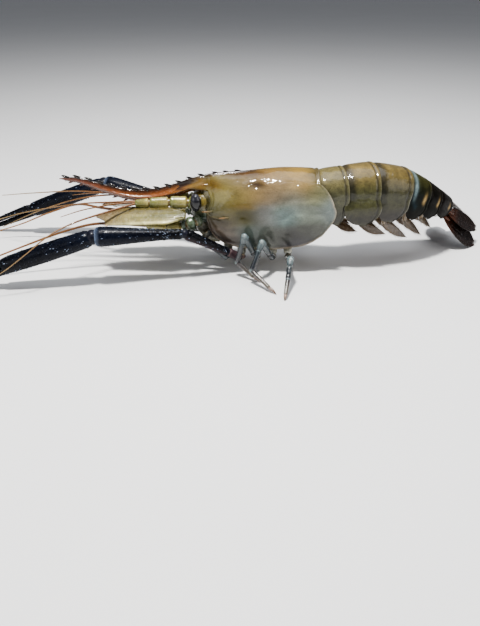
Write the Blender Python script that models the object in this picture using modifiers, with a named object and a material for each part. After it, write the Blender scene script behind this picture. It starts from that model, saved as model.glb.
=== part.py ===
# Giant river prawn, adult male, life size, as a still display model.
# It stands on its walking legs, with its claw tips and one blade of its tail fan on the floor. +X runs
# towards the tail, +Z is up, and -Y is the animal's left side. Lengths below are in millimetres.

from math import cos, pi, radians, sin, sqrt

import bmesh
import bpy
from mathutils import Matrix, Vector

MM = 0.001
GAP = 0.3  # clearance between touching pieces
SIDES = {"left": -1, "right": 1}

# Body, measured along the animal
CARAPACE_REAR = 31.0  # X of its rear edge on the back
CARAPACE_FRONT = -38.0  # X of its front edge below the eyes
SHELL = 1.4  # thickness of the free edges of the shell

# Legs: X of each pair's root, and where its hip ends
LEG_ROOTS = {"small_claw": -25.0, "cheliped": -16.5, "leg_3": -7.0, "leg_4": 3.0, "leg_5": 12.5}
HIP_OUT = 10.4
HIP_HEIGHT = 10.9
HIP_IN = 4.0

# Rostrum, the toothed blade over the eyes
ROSTRUM_LENGTH = 89.0
ROSTRUM_DEPTH = 8.2
ROSTRUM_THICKNESS = 2.0
UPPER_TEETH = 13
LOWER_TEETH = 11
TOOTH_HEIGHT = 1.5

# Abdomen: the rings' lengths, then half width, height of the back over the axis and drop of the sides at
# each edge between two rings
RING_LENGTHS = (13.0, 17.3, 20.2, 14.5, 11.5, 15.0)
RING_HALF_WIDTHS = (14.2, 15.2, 16.8, 16.2, 13.8, 11.6, 8.4)
RING_RISES = (14.0, 14.9, 16.0, 15.0, 12.2, 10.0, 7.6)
RING_DROPS = (14.0, 14.8, 14.6, 11.8, 9.2, 7.4, 6.0)
PITCHES = (1, 5, -3, -15, -22, -24, -24)  # degrees above level, at each ring edge
YAWS = (3, 9, 13, 15, 20, 27, 34)  # degrees away from the camera side
AXIS_START = (CARAPACE_REAR + 2.5 * GAP, 0.0, 47.4)
TUCK = 1.3  # how much narrower a ring starts than the one before it ends

TELSON_LENGTH = 27.0

# Colours, linear RGB
OLIVE = (0.16, 0.14, 0.045)
RUST = (0.19, 0.06, 0.015)
BLUE_BLACK = (0.008, 0.010, 0.022)
STEEL = (0.12, 0.14, 0.15)
PALE = (0.42, 0.42, 0.22)
AMBER = (0.45, 0.24, 0.06)
DARK_TAIL = (0.02, 0.015, 0.01)
EYE_BLACK = (0.01, 0.01, 0.012)
SWIM_BROWN = (0.20, 0.13, 0.08)
BELLY = (0.22, 0.18, 0.13)


def clear_scene():
    for old in list(bpy.data.objects):
        bpy.data.objects.remove(old, do_unlink=True)


def new_collection(name):
    made = bpy.data.collections.new(name)
    bpy.context.scene.collection.children.link(made)
    return made


clear_scene()
PRAWN = new_collection("giant_river_prawn")


def material(name, color, roughness=0.3):
    made = bpy.data.materials.get(name) or bpy.data.materials.new(name)
    made.use_nodes = True
    shader = made.node_tree.nodes["Principled BSDF"]
    shader.inputs["Base Color"].default_value = (*color, 1)
    shader.inputs["Roughness"].default_value = roughness
    shader.inputs["Metallic"].default_value = 0.0
    return made


def add_object(name, data, color, collection=None):
    """One named object with its own material."""
    made = bpy.data.objects.new(name, data)
    (collection or PRAWN).objects.link(made)
    data.materials.clear()
    data.materials.append(material(name, color))
    return made


def mesh_from(bm, name):
    bmesh.ops.recalc_face_normals(bm, faces=bm.faces)
    mesh = bpy.data.meshes.new(name)
    bm.to_mesh(mesh)
    bm.free()
    return mesh


def loft(name, rings, color):
    """A closed solid through rings of equally many points, in mm, with a flat cap at each end."""
    bm = bmesh.new()
    rows = [[bm.verts.new(Vector(p) * MM) for p in ring] for ring in rings]
    count = len(rows[0])
    for a, b in zip(rows, rows[1:]):
        for i in range(count):
            j = (i + 1) % count
            bm.faces.new((a[i], a[j], b[j], b[i]))
    bm.faces.new(rows[0])
    bm.faces.new(rows[-1])
    bmesh.ops.triangulate(bm, faces=bm.faces)
    made = add_object(name, mesh_from(bm, name), color)
    made.data.shade_smooth()
    return made


def sheet(name, grid, thickness, color):
    """A thin plate over a grid of points, in mm, given its thickness by Solidify."""
    bm = bmesh.new()
    rows = [[bm.verts.new(Vector(p) * MM) for p in row] for row in grid]
    for a, b in zip(rows, rows[1:]):
        for i in range(len(a) - 1):
            bm.faces.new((a[i], a[i + 1], b[i + 1], b[i]))
    bmesh.ops.triangulate(bm, faces=bm.faces)
    mesh = bpy.data.meshes.new(name)
    bm.to_mesh(mesh)
    bm.free()
    made = add_object(name, mesh, color)
    solid = made.modifiers.new("thickness", "SOLIDIFY")
    solid.thickness = thickness * MM
    solid.offset = 0
    return made


def limb(name, points, radii, color, roundness=2):
    """A tapering round limb along points, in mm, with a radius at each."""
    curve = bpy.data.curves.new(name, "CURVE")
    curve.dimensions = "3D"
    curve.bevel_depth = MM
    curve.bevel_resolution = roundness
    curve.use_fill_caps = True
    spline = curve.splines.new("POLY")
    spline.points.add(len(points) - 1)
    for spot, point, radius in zip(spline.points, points, radii):
        spot.co = (*(Vector(point) * MM), 1)
        spot.radius = radius
    return add_object(name, curve, color)


def cone(name, root, tip, radius, color, sides=5):
    """A spine from root to tip, in mm."""
    root, tip = Vector(root) * MM, Vector(tip) * MM
    bm = bmesh.new()
    length = (tip - root).length
    bmesh.ops.create_cone(
        bm, cap_ends=True, segments=sides, radius1=radius * MM, radius2=0.12 * MM, depth=length
    )
    turn = (tip - root).to_track_quat("Z", "Y").to_matrix().to_4x4()
    bm.transform(Matrix.Translation((root + tip) / 2) @ turn)
    return add_object(name, mesh_from(bm, name), color)


def ball(name, centre, radius, color):
    """A small round joint, in mm."""
    bm = bmesh.new()
    bmesh.ops.create_icosphere(bm, subdivisions=2, radius=radius * MM)
    bm.transform(Matrix.Translation(Vector(centre) * MM))
    return add_object(name, mesh_from(bm, name), color)


def as_mesh(made):
    """The object as a plain welded mesh, with its modifiers applied."""
    bpy.context.view_layer.update()
    graph = bpy.context.evaluated_depsgraph_get()
    mesh = bpy.data.meshes.new_from_object(made.evaluated_get(graph), depsgraph=graph)
    bm = bmesh.new()
    bm.from_mesh(mesh)
    bmesh.ops.remove_doubles(bm, verts=bm.verts, dist=0.002 * MM)
    bmesh.ops.triangulate(bm, faces=bm.faces)
    bmesh.ops.recalc_face_normals(bm, faces=bm.faces)
    bm.to_mesh(mesh)
    bm.free()
    name = made.name
    world = made.matrix_world.copy()
    kept = list(made.data.materials)
    bpy.data.objects.remove(made, do_unlink=True)
    mesh.materials.clear()
    for item in kept:
        mesh.materials.append(item)
    new = bpy.data.objects.new(name, mesh)
    PRAWN.objects.link(new)
    new.matrix_world = world
    new.name = name
    return new


def keep_largest(mesh):
    """Drops every closed surface but the largest, such as a hollow that fusing sealed."""
    bm = bmesh.new()
    bm.from_mesh(mesh)
    bmesh.ops.remove_doubles(bm, verts=bm.verts, dist=0.001 * MM)
    left = set(bm.faces)
    islands = []
    while left:
        seed = left.pop()
        island, front = {seed}, [seed]
        while front:
            for edge in front.pop().edges:
                for face in edge.link_faces:
                    if face in left:
                        left.discard(face)
                        island.add(face)
                        front.append(face)
        islands.append(island)
    islands.sort(key=lambda faces: sum(f.calc_area() for f in faces))
    for island in islands[:-1]:
        bmesh.ops.delete(bm, geom=list(island), context="FACES")
    bm.to_mesh(mesh)
    bm.free()


def fuse(base, pieces, solver="MANIFOLD"):
    """Joins pieces into base with one Boolean union, and returns the one closed mesh."""
    base = as_mesh(base)
    joined = new_collection(base.name + "_pieces")
    for piece in [as_mesh(p) for p in pieces]:
        PRAWN.objects.unlink(piece)
        joined.objects.link(piece)
    union = base.modifiers.new("union", "BOOLEAN")
    union.operation = "UNION"
    union.operand_type = "COLLECTION"
    union.collection = joined
    union.solver = solver
    made = as_mesh(base)
    for piece in list(joined.objects):
        bpy.data.objects.remove(piece, do_unlink=True)
    bpy.data.collections.remove(joined)
    keep_largest(made.data)
    return made


def power(value, exponent):
    """A signed power, which squares off or sharpens an ellipse."""
    return (abs(value) ** exponent) * (1 if value >= 0 else -1)


def arch(half_width, rise, drop, channel, roof=0.92, back_points=11):
    """A body section as (side, up) pairs: a back over the axis, sides that fall to two thin lower edges,
    and a channel between them that is raised by the given height. The back is round at a roof of 0.92
    and comes nearer to a ridge as roof grows."""
    lower = [(0.70, 1.0 - channel / drop), (0.78, 0.98), (0.86, 1.0), (0.965, 0.72), (1.0, 0.36)]
    right = [(half_width * a, -drop * b) for a, b in lower]
    angles = [pi * i / (back_points - 1) for i in range(back_points)]
    back = [(half_width * power(cos(a), roof), rise * power(sin(a), 1.03 * roof)) for a in angles]
    left = [(-a, b) for a, b in reversed(right)]
    return right + back + left + [(0.0, -drop + channel)]


def directions(pitch, yaw):
    """(forward, side, up) of a body ring, forward pointing to the tail and side away from the camera."""
    p, y = radians(pitch), radians(yaw)
    forward = Vector((cos(p) * cos(y), cos(p) * sin(y), sin(p)))
    side = Vector((-sin(y), cos(y), 0))
    return forward, side, forward.cross(side)


def placed(section, centre, pitch, yaw):
    _, side, up = directions(pitch, yaw)
    return [Vector(centre) + side * a + up * b for a, b in section]


def axis_points():
    """The centre of each edge between two abdomen rings, from the ring lengths and the bends."""
    points = [Vector(AXIS_START)]
    for i, length in enumerate(RING_LENGTHS):
        pitch = (PITCHES[i] + PITCHES[i + 1]) / 2
        yaw = (YAWS[i] + YAWS[i + 1]) / 2
        points.append(points[-1] + directions(pitch, yaw)[0] * length)
    return points


AXIS = axis_points()

# Carapace sections from the rear forward: X, half width, top, height of the widest line, lower edge,
# and how ridged the back is
CARAPACE = (
    (31, 17.2, 61.5, 43, 24.0, 0.92),
    (26, 18.0, 62.0, 42, 21.0, 0.92),
    (18, 18.5, 62.4, 41, 18.0, 0.92),
    (6, 18.3, 62.4, 40, 16.3, 0.92),
    (-6, 17.2, 61.4, 39, 16.0, 0.92),
    (-16, 15.8, 60.4, 38, 16.2, 0.95),
    (-25, 14.2, 59.6, 38, 18.0, 1.05),
    (-32, 12.6, 58.9, 38, 21.5, 1.25),
    (-36, 11.4, 58.5, 38, 26.5, 1.5),
    (-38, 10.4, 58.2, 39, 31.0, 1.6),
)
CARAPACE_CHANNEL = 5.0


def carapace_section(x, half_width, top, widest, bottom, roof):
    section = arch(half_width, top - widest, widest - bottom, CARAPACE_CHANNEL, roof)
    return [(x, a, widest + b) for a, b in section]


def carapace_at(x):
    """The carapace's measures at any X, between its sections."""
    for near, far in zip(CARAPACE, CARAPACE[1:]):
        if far[0] <= x <= near[0]:
            share = (x - near[0]) / (far[0] - near[0])
            return [a + (b - a) * share for a, b in zip(near, far)]
    return list(CARAPACE[0] if x > CARAPACE[0][0] else CARAPACE[-1])


def flank(x, z, side, out=0.0):
    """A point on the carapace's flank at X and Z, pushed out by a distance."""
    _, half_width, top, widest, bottom, roof = carapace_at(x)
    if z >= widest:
        share = min(1.0, (z - widest) / (top - widest))
        reach = half_width * max(0.0, 1 - share ** (2 / (1.03 * roof))) ** (roof / 2)
    else:
        share = (widest - z) / (widest - bottom)
        reach = half_width * (1 - 0.14 * share**2)
    return Vector((x, side * (reach + out), z))


# Flaps of shell at the carapace's rear corners: how far they pass its rear edge, and their height range
CORNER_REACH = 10.0
CORNER_LOW, CORNER_HIGH = 27.0, 54.0


def rear_corner(side):
    """The rounded rear corner of the carapace, which lies over the first ring of the abdomen."""
    grid = []
    for i in range(7):
        x = CARAPACE_REAR - 5 + (CORNER_REACH + 5) * i / 6
        past = max(0.0, (x - CARAPACE_REAR) / CORNER_REACH)
        middle = (CORNER_LOW + CORNER_HIGH) / 2 + past
        half = (CORNER_HIGH - CORNER_LOW) / 2 * sqrt(1.02 - past**2)
        row = []
        for j in range(9):
            z = middle + half * (2 * j / 8 - 1)
            spot = flank(min(x, CARAPACE_REAR), z, side, -0.5)
            bulge = 0.9 if side < 0 else 2.6
            row.append(Vector((x, spot.y + side * bulge * past, z)))
        grid.append(row)
    return sheet("rear_corner", grid, SHELL, OLIVE)


def build_carapace():
    body = loft("carapace", [carapace_section(*row) for row in CARAPACE], OLIVE)
    pieces = [rear_corner(side) for side in SIDES.values()]
    for side in SIDES.values():
        for x, z, length in ((-36.5, 39.2, 5.5), (-27.0, 36.0, 4.0)):
            root = flank(x + 2.5, z, side, -1.2)
            pieces.append(cone("spine", root, root + Vector((-length - 2.5, side * 2.2, 0.6)), 1.0, OLIVE))
    for x in (-33.0, -26.5, -19.5):
        top = carapace_at(x)[2]
        pieces.append(cone("tooth", (x + 2.2, 0, top - 1.6), (x - 1.8, 0, top + 1.7), 1.5, OLIVE))
    return fuse(body, pieces)


def rostrum_edges(share):
    """Z of the upper and lower edge at a share of the rostrum's length from its root."""
    upper = 58.2 - 8.6 * sin(pi * min(1.0, share * 1.12)) ** 1.4 - 1.6 * share
    depth = ROSTRUM_DEPTH * (1.0 - 0.18 * share - 0.68 * share**3)
    return upper, upper - depth


def build_rostrum():
    """A thin blade with teeth along both edges, and a rib along each side."""
    root_x = CARAPACE_FRONT - GAP
    outline = []
    for i in range(UPPER_TEETH * 2 + 1):
        share = i / (UPPER_TEETH * 2)
        rise = TOOTH_HEIGHT if i % 2 else 0.0
        lean = -1.2 if i % 2 else 0.0
        outline.append((root_x - ROSTRUM_LENGTH * share + lean, rostrum_edges(share)[0] + rise))
    for i in range(LOWER_TEETH * 2, -1, -1):
        share = 0.16 + 0.80 * i / (LOWER_TEETH * 2)
        fall = TOOTH_HEIGHT * 0.8 if i % 2 else 0.0
        lean = -1.0 if i % 2 else 0.0
        outline.append((root_x - ROSTRUM_LENGTH * share + lean, rostrum_edges(share)[1] - fall))
    outline.append((root_x, rostrum_edges(0)[1] + 0.6))
    curve = bpy.data.curves.new("rostrum", "CURVE")
    curve.dimensions = "2D"
    curve.fill_mode = "BOTH"
    curve.extrude = ROSTRUM_THICKNESS / 2 * MM
    spline = curve.splines.new("POLY")
    spline.use_cyclic_u = True
    spline.points.add(len(outline) - 1)
    for spot, (x, z) in zip(spline.points, outline):
        spot.co = (x * MM, z * MM, 0, 1)
    blade = add_object("rostrum", curve, RUST)
    blade.rotation_euler = (pi / 2, 0, 0)
    rings = []
    for i in range(9):
        share = i / 8 * 0.92
        upper, lower = rostrum_edges(share)
        middle = lower + 0.42 * (upper - lower)
        half = 3.4 * (1 - share) ** 1.3 + 1.05 + 1.2 * (1 - min(1.0, share / 0.15)) ** 2
        tall = 2.4 * (1 - share) + 0.8 + 0.9 * (1 - min(1.0, share / 0.15))
        x = root_x - ROSTRUM_LENGTH * share
        angles = [2 * pi * k / 8 for k in range(8)]
        rings.append([(x, half * cos(a), middle + tall * power(sin(a), 1.3)) for a in angles])
    rib = loft("rib", rings, RUST)
    return fuse(blade, [rib])


def hip_end(x, side):
    return Vector((x, side * HIP_OUT, HIP_HEIGHT))


def leg_root(leg, side):
    """The first two points of a leg: it leaves its hip in line with it."""
    x = LEG_ROOTS[leg]
    end = hip_end(x, side)
    out = (end - Vector((x, side * HIP_IN, carapace_at(x)[4]))).normalized()
    return [end + out * GAP, end + out * 2.8]


# Front of the head between the feelers: X, half width, top and bottom
HEAD = ((-38.3, 9.2, 48.9, 30.5), (-42.0, 8.4, 48.7, 30.0), (-47.0, 6.8, 47.4, 33.0))


def build_thorax():
    """The underside and the front of the head, which carry the legs and the feelers."""
    rings = []
    for x in (29, 26, 18, 6, -6, -16, -25, -32, -34):
        _, half_width, _, _, bottom, _ = carapace_at(x)
        reach = 0.66 * half_width - 0.6
        low, high = bottom - 0.6, bottom + CARAPACE_CHANNEL - GAP - 0.1
        rings.append([(x, reach, low), (x, reach * 0.92, high), (x, -reach * 0.92, high), (x, -reach, low),
                      (x, -reach * 0.6, low - 1.4), (x, reach * 0.6, low - 1.4)])
    floor_plate = loft("thorax", rings, BELLY)
    face = []
    for x, half_width, top, bottom in HEAD:
        middle, tall = (top + bottom) / 2, (top - bottom) / 2
        ring = [(power(cos(2 * pi * k / 14), 0.8), power(sin(2 * pi * k / 14), 0.8)) for k in range(14)]
        face.append([(x, half_width * a, middle + tall * b) for a, b in ring])
    head = loft("head", face, BELLY)
    jaw_path = [(-30, 0, 19.2), (-36, 0, 20.5), (-40.5, 0, 26), (-43.2, 0, 34)]
    jaw = limb("jaw", jaw_path, (4.6, 4.4, 4.4, 4.6), BELLY, 3)
    stubs = []
    for x in LEG_ROOTS.values():
        for side in SIDES.values():
            hip = [(x, side * HIP_IN, carapace_at(x)[4]), hip_end(x, side)]
            stubs.append(limb("hip", hip, (2.6, 2.4), BELLY))
    return fuse(floor_plate, [head, jaw] + stubs)


def mirrored(points, side):
    """Left-side points turned to the given side."""
    return [Vector((x, y * -side, z)) for x, y, z in points]


def start_after(points, clearance=GAP):
    """The same path, started a little later, to keep clear of what it grows from."""
    step = (points[1] - points[0]).normalized() * clearance
    return [points[0] + step] + points[1:]


def stand_flat(made):
    """Cuts what is under the floor away, which leaves a small flat to stand on."""
    made = as_mesh(made)
    bm = bmesh.new()
    bm.from_mesh(made.data)
    every = list(bm.verts) + list(bm.edges) + list(bm.faces)
    cut = bmesh.ops.bisect_plane(bm, geom=every, plane_co=(0, 0, 0), plane_no=(0, 0, -1), clear_outer=True)
    rim = [e for e in cut["geom_cut"] if isinstance(e, bmesh.types.BMEdge)]
    bmesh.ops.holes_fill(bm, edges=rim)
    bmesh.ops.triangulate(bm, faces=bm.faces)
    bmesh.ops.recalc_face_normals(bm, faces=bm.faces)
    bm.to_mesh(made.data)
    bm.free()
    return made


def curved(points, steps):
    """A smooth path through points, with the given number of steps between each two."""
    spots = [Vector(p) for p in points]
    spots = [2 * spots[0] - spots[1]] + spots + [2 * spots[-1] - spots[-2]]
    path = []
    for a, b, c, d in zip(spots, spots[1:], spots[2:], spots[3:]):
        for i in range(steps):
            t = i / steps
            path.append(0.5 * (2 * b + (c - a) * t + (2 * a - 5 * b + 4 * c - d) * t**2
                               + (3 * b - a - 3 * c + d) * t**3))
    return path + [spots[-2]]


def taper(count, first, last, curve=1.0):
    return [first + (last - first) * (i / (count - 1)) ** curve for i in range(count)]


def whip(name, points, first, last, steps=6, color=AMBER):
    """A long feeler that thins to its tip."""
    path = curved(points, steps)
    return limb(name, path, taper(len(path), first, last, 0.7), color, 1)


EYE_CENTRE = (-44.0, -13.2, 45.4)
EYE_RADII = (3.1, 3.1, 4.9)


def build_eyes():
    for label, side in SIDES.items():
        middle = mirrored([EYE_CENTRE], side)[0]
        bpy.ops.mesh.primitive_uv_sphere_add(segments=12, ring_count=8, radius=MM)
        eye = bpy.context.active_object
        for owner in list(eye.users_collection):
            owner.objects.unlink(eye)
        eye.data.transform(Matrix.Diagonal((*EYE_RADII, 1)))
        eye.data.transform(Matrix.Translation(middle * MM))
        ball = add_object("eye_" + label, eye.data, EYE_BLACK)
        bpy.data.objects.remove(eye, do_unlink=True)
        ball.data.shade_smooth()
        stalk = mirrored([(-43.0, -8.7, 45.6), (-43.25, -9.5, 45.5)], side)
        limb("eyestalk_" + label, stalk, (2.0, 2.3), BELLY)


# Feelers of the left side; the right ones mirror them unless the pose differs
ANTENNULE = ((-47.0, -4.2, 42.6), (-49.5, -4.5, 43.0), (-60.0, -5.4, 43.6), (-61.5, -5.5, 43.6),
             (-72.0, -5.9, 43.4), (-73.5, -5.9, 43.4), (-81.5, -6.0, 43.0))
ANTENNULE_RADII = (3.0, 3.3, 3.0, 2.6, 2.6, 2.2, 2.0)
ANTENNULE_WHIPS = {
    "left": (
        ((-80.5, -6.4, 42.6), (-100, -17, 40.0), (-115, -27, 37.8), (-127.4, -35.7, 33.5), (-140, -43, 25),
         (-155, -47, 15), (-172, -52, 8)),
        ((-80.5, -5.6, 43.6), (-95, -5.5, 43.0), (-118, -4, 41.2), (-150, -6, 36.5), (-178, -12, 30)),
        ((-80.5, -6.2, 43.2), (-93, -7, 42.4), (-112, -9, 39.5), (-126, -12, 36)),
    ),
    "right": (
        ((-80.5, 6.4, 42.6), (-98, 8, 43.0), (-120, 7, 40.5), (-145, 4, 33.5), (-168, 2, 24)),
        ((-80.5, 5.6, 43.6), (-96, 6.5, 44.5), (-122, 12, 44.0), (-152, 20, 40), (-176, 30, 35)),
        ((-80.5, 6.2, 43.2), (-94, 9, 43.6), (-112, 14, 42.0), (-126, 19, 39)),
    ),
}
ANTENNA = ((-42.4, -9.2, 33.4), (-45.0, -12.2, 32.4), (-50.0, -13.6, 31.4), (-53.0, -13.2, 30.6),
           (-62.0, -12.4, 30.0), (-75.0, -11.0, 30.4))
ANTENNA_RADII = (3.2, 4.3, 4.4, 2.9, 2.6, 1.9)
ANTENNA_WHIPS = {
    "left": ((-75.0, -11.0, 30.4), (-90, -10.5, 31.0), (-108, -10, 30.5), (-128, -13, 26), (-150, -17, 19),
             (-172, -22, 12), (-195, -24, 6), (-214, -18, 3.0)),
    "right": ((-75.0, 11.0, 30.4), (-92, 12, 31.0), (-108, 16, 31.5), (-126, 26, 30), (-150, 36, 20),
              (-170, 40, 11), (-188, 38, 6.0), (-206, 28, 3.5)),
}
SCALE_LENGTH = 56.0
SCALE_WIDTH = 14.5


def build_feelers():
    for label, side in SIDES.items():
        path = start_after(mirrored(ANTENNULE, side), 3 * GAP)
        peduncle = limb("antennule_" + label, path, ANTENNULE_RADII, PALE, 2)
        whips = [whip("whip", w, 0.75, 0.35, 4) for w in ANTENNULE_WHIPS[label]]
        fuse(peduncle, whips)
        path = start_after(mirrored(ANTENNA, side))
        limb("antenna_" + label, path, ANTENNA_RADII, PALE, 2)
        path = start_after([Vector(p) for p in ANTENNA_WHIPS[label]], 2 * GAP)
        whip("antenna_flagellum_" + label, path, 1.15, 0.4, 6)


def leaf(root, along, across, length, widths, droop=0.0, crown=0.0, columns=5, rows=8, offset=0.0):
    """A grid for a leaf-shaped plate: widths are shares of the length's half width at even steps, droop bends
    it and crown raises its middle line."""
    along, across = Vector(along).normalized(), Vector(across).normalized()
    normal = along.cross(across).normalized()
    grid = []
    for i in range(rows):
        share = i / (rows - 1)
        place = share * (len(widths) - 1)
        low = min(int(place), len(widths) - 2)
        half = widths[low] + (widths[low + 1] - widths[low]) * (place - low)
        middle = Vector(root) + along * (length * share) + normal * (droop * share**2)
        row = []
        for j in range(columns):
            sway = 2 * j / (columns - 1) - 1
            row.append(middle + across * (half * (sway + offset)) + normal * (crown * (1 - sway**2)))
        grid.append(row)
    return grid


def build_scales():
    """The blade beside each antenna: straight outer edge, rounded tip and a crowned middle."""
    widths = [SCALE_WIDTH / 2 * w for w in (0.30, 0.72, 0.92, 1.0, 1.0, 0.95, 0.78, 0.30)]
    for label, side in SIDES.items():
        along = Vector((-1.0, side * -0.09, -0.045))
        across = Vector((0.0, side * 0.86, -0.51))
        root = Vector((-49.8, side * 14.6, 37.9))
        grid = leaf(root, along, across, SCALE_LENGTH, widths, crown=-0.8 * side)
        sheet("antenna_scale_" + label, grid, 0.8, PALE)


def build_mouthparts():
    path = ((-35.7, -6.3, 24.0), (-41.0, -8.0, 20.0), (-50.0, -7.4, 20.5), (-58.0, -5.8, 24.5),
            (-63.0, -4.4, 29.0))
    for label, side in SIDES.items():
        limb("maxilliped_" + label, mirrored(path, side), (1.7, 1.9, 1.7, 1.5, 0.7), STEEL)


# Walking legs, each as hip, knee, ankle and toe; the left ones lie as in the photo
LEG_PATHS = {
    ("leg_3", "left"): ((-15.0, -22.0, 27.5), (-19.5, -19.5, 9.5), (-5.0, -29.0, -0.6)),
    ("leg_4", "left"): ((-4.5, -24.0, 24.5), (-10.5, -29.5, 8.5), (3.8, -44.0, -0.6)),
    ("leg_5", "left"): ((12.5, -30.5, 16.5), (10.5, -40.0, 8.0), (8.2, -51.5, -0.6)),
    ("leg_3", "right"): ((-13.0, 25.0, 27.0), (-19.0, 33.0, 11.0), (-23.0, 43.0, -0.6)),
    ("leg_4", "right"): ((3.0, 27.0, 26.0), (8.0, 37.0, 12.0), (12.0, 46.0, -0.6)),
    ("leg_5", "right"): ((21.0, 27.0, 24.0), (29.0, 38.0, 12.0), (37.0, 45.0, -0.6)),
}
KNEE_LENGTH = 5.0  # how far a leg's upper piece passes its knee
SMALL_CLAW = ((-36.0, -12.2, 17.7), (-37.2, -12.2, 18.7), (-50.0, -12.0, 23.3), (-56.5, -11.0, 24.6))


def between(a, b, share):
    return Vector(a) + (Vector(b) - Vector(a)) * share


def build_walking_legs():
    for (leg, label), (knee, ankle, toe) in LEG_PATHS.items():
        side = SIDES[label]
        knee, ankle, toe = Vector(knee), Vector(ankle), Vector(toe)
        root = leg_root(leg, side)
        shin = (ankle - knee).length
        parting = between(knee, ankle, KNEE_LENGTH / shin)
        thigh = root + [between(root[1], knee, 0.5) + Vector((0, side * 0.8, -0.6)), knee]
        upper = limb(f"{leg}_{label}_upper", thigh, (2.2, 2.2, 1.8, 2.0), STEEL)
        fuse(upper, [ball("knee", knee, 2.3, STEEL), limb("shin", [knee, parting], (1.95, 1.7), STEEL)])
        start = between(knee, ankle, (KNEE_LENGTH + 2 * GAP) / shin)
        lower = [start, between(knee, ankle, 0.7), between(ankle, knee, 1.5 / shin)]
        lower += [between(ankle, toe, share) for share in (0.08, 0.4, 0.8)] + [toe]
        stand_flat(limb(f"{leg}_{label}_lower", lower, (1.6, 1.4, 1.6, 1.6, 1.25, 1.1, 0.75), STEEL))


def build_small_claws():
    for label, side in SIDES.items():
        path = leg_root("small_claw", side) + mirrored(SMALL_CLAW, side)
        arm = limb("small_claw_" + label, path, (2.0, 2.0, 1.7, 1.8, 1.5, 1.6), STEEL)
        wrist = path[-1]
        fingers = []
        for lift in (-0.75, 0.75):
            tip = wrist + Vector((-8.4, side * -1.0, lift * 0.9 + 1.0))
            bend = wrist + Vector((-4.2, 0, lift * 1.4 + 0.6))
            finger = [wrist + Vector((0.8, 0, lift * 0.4)), bend, tip]
            fingers.append(limb("finger", finger, (0.8, 0.6, 0.3), STEEL, 1))
        fuse(arm, fingers)


# Great claws: elbow, wrist and tip of each
CLAW_JOINTS = {
    "left": ((-50.0, -22.5, 29.5), (-103.0, -30.0, 30.7), (-199.0, -39.0, 1.2)),
    "right": ((-56.0, 29.5, 30.5), (-110.0, 44.0, 38.5), (-207.0, 54.0, 1.2)),
}
PALM_SHARE = 0.57  # of the hand's length, before the fingers part
SPINE_LENGTH = 1.15


def spines_on(start, end, first, last, rows, columns, color, span=(0.1, 0.93)):
    """Rows of small forward-leaning spines round a straight tapering limb."""
    start, end = Vector(start), Vector(end)
    along = (end - start).normalized()
    across = along.orthogonal().normalized()
    other = along.cross(across)
    made = []
    for i in range(rows):
        share = span[0] + (span[1] - span[0]) * i / (rows - 1)
        radius = first + (last - first) * share
        for j in range(columns):
            angle = 2 * pi * (j + 0.5 * (i % 2)) / columns
            out = across * cos(angle) + other * sin(angle)
            foot = start + (end - start) * share + out * (radius * 0.8)
            tip = foot + out * (SPINE_LENGTH + radius * 0.2) + along * SPINE_LENGTH * 0.8
            made.append(cone("spine", foot, tip, 0.6, color, 4))
    return made


def build_great_claws():
    for label, side in SIDES.items():
        elbow, wrist, tip = (Vector(p) for p in CLAW_JOINTS[label])
        root = leg_root("cheliped", side)
        upper = root + [between(root[1], elbow, share) for share in (0.22, 0.6, 0.93)] + [elbow]
        arm = limb(f"cheliped_{label}_merus", upper, (2.3, 2.5, 2.7, 3.0, 3.4, 2.9), BLUE_BLACK, 3)
        fuse(arm, spines_on(root[1], elbow, 2.6, 3.3, 4, 5, BLUE_BLACK, (0.35, 0.86)))

        start = between(elbow, wrist, (3.0 + GAP) / (wrist - elbow).length)
        fore = [start] + [between(elbow, wrist, share) for share in (0.15, 0.5, 0.88)] + [wrist]
        arm = limb(f"cheliped_{label}_carpus", fore, (2.8, 3.3, 4.4, 5.9, 4.6), BLUE_BLACK, 3)
        fuse(arm, spines_on(start, wrist, 2.9, 6.2, 7, 5, BLUE_BLACK, (0.1, 0.84)))

        hand = tip - wrist
        along = hand.normalized()
        start = wrist + along * (2.6 + GAP)
        parting = wrist + hand * PALM_SHARE
        above = Vector((0, -side * 0.45, 1.0))
        above = (above - along * above.dot(along)).normalized()
        palm_path = [start, wrist + hand * 0.06, wrist + hand * 0.28, parting - along * 3.0, parting]
        palm = limb(f"cheliped_{label}_palm", palm_path, (3.8, 5.3, 5.7, 5.4, 4.7), BLUE_BLACK, 3)
        fixed_path = [parting - along * 6 - above * 1.6, parting - above * 2.5,
                      wrist + hand * 0.76 - above * 2.6, wrist + hand * 0.93 - above * 1.6, tip]
        fixed = limb("fixed_finger", fixed_path, (2.9, 2.3, 2.1, 1.5, 0.8), BLUE_BLACK, 2)
        spines = spines_on(start, parting, 5.5, 5.3, 6, 5, BLUE_BLACK, (0.12, 0.88))
        stand_flat(fuse(palm, [fixed] + spines))

        root = parting + along * (0.7 + GAP) + above * 2.5
        free_path = [root, wrist + hand * 0.62 + above * 2.8, wrist + hand * 0.80 + above * 2.3,
                     wrist + hand * 0.94 + above * 1.5, tip + above * 2.4 - along * 1.0]
        limb(f"cheliped_{label}_finger", free_path, (2.3, 2.4, 1.9, 1.3, 0.6), BLUE_BLACK, 2)


# Side flaps of the abdomen rings: length share, how far they hang past the ring's edge, and shift to the rear
FLAPS = (
    (0.36, 2.6, 0.0),
    (0.66, 3.0, 0.0),
    (0.45, 2.6, 0.10),
    (0.45, 2.0, 0.10),
    (0.45, 1.6, 0.10),
    (0.34, 0.8, 0.10),
)
FLAP_OUT = (0.2, 1.5, 0.65, 0.65, 0.65, 0.2)  # the second ring's flaps lie over the first and the third


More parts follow.
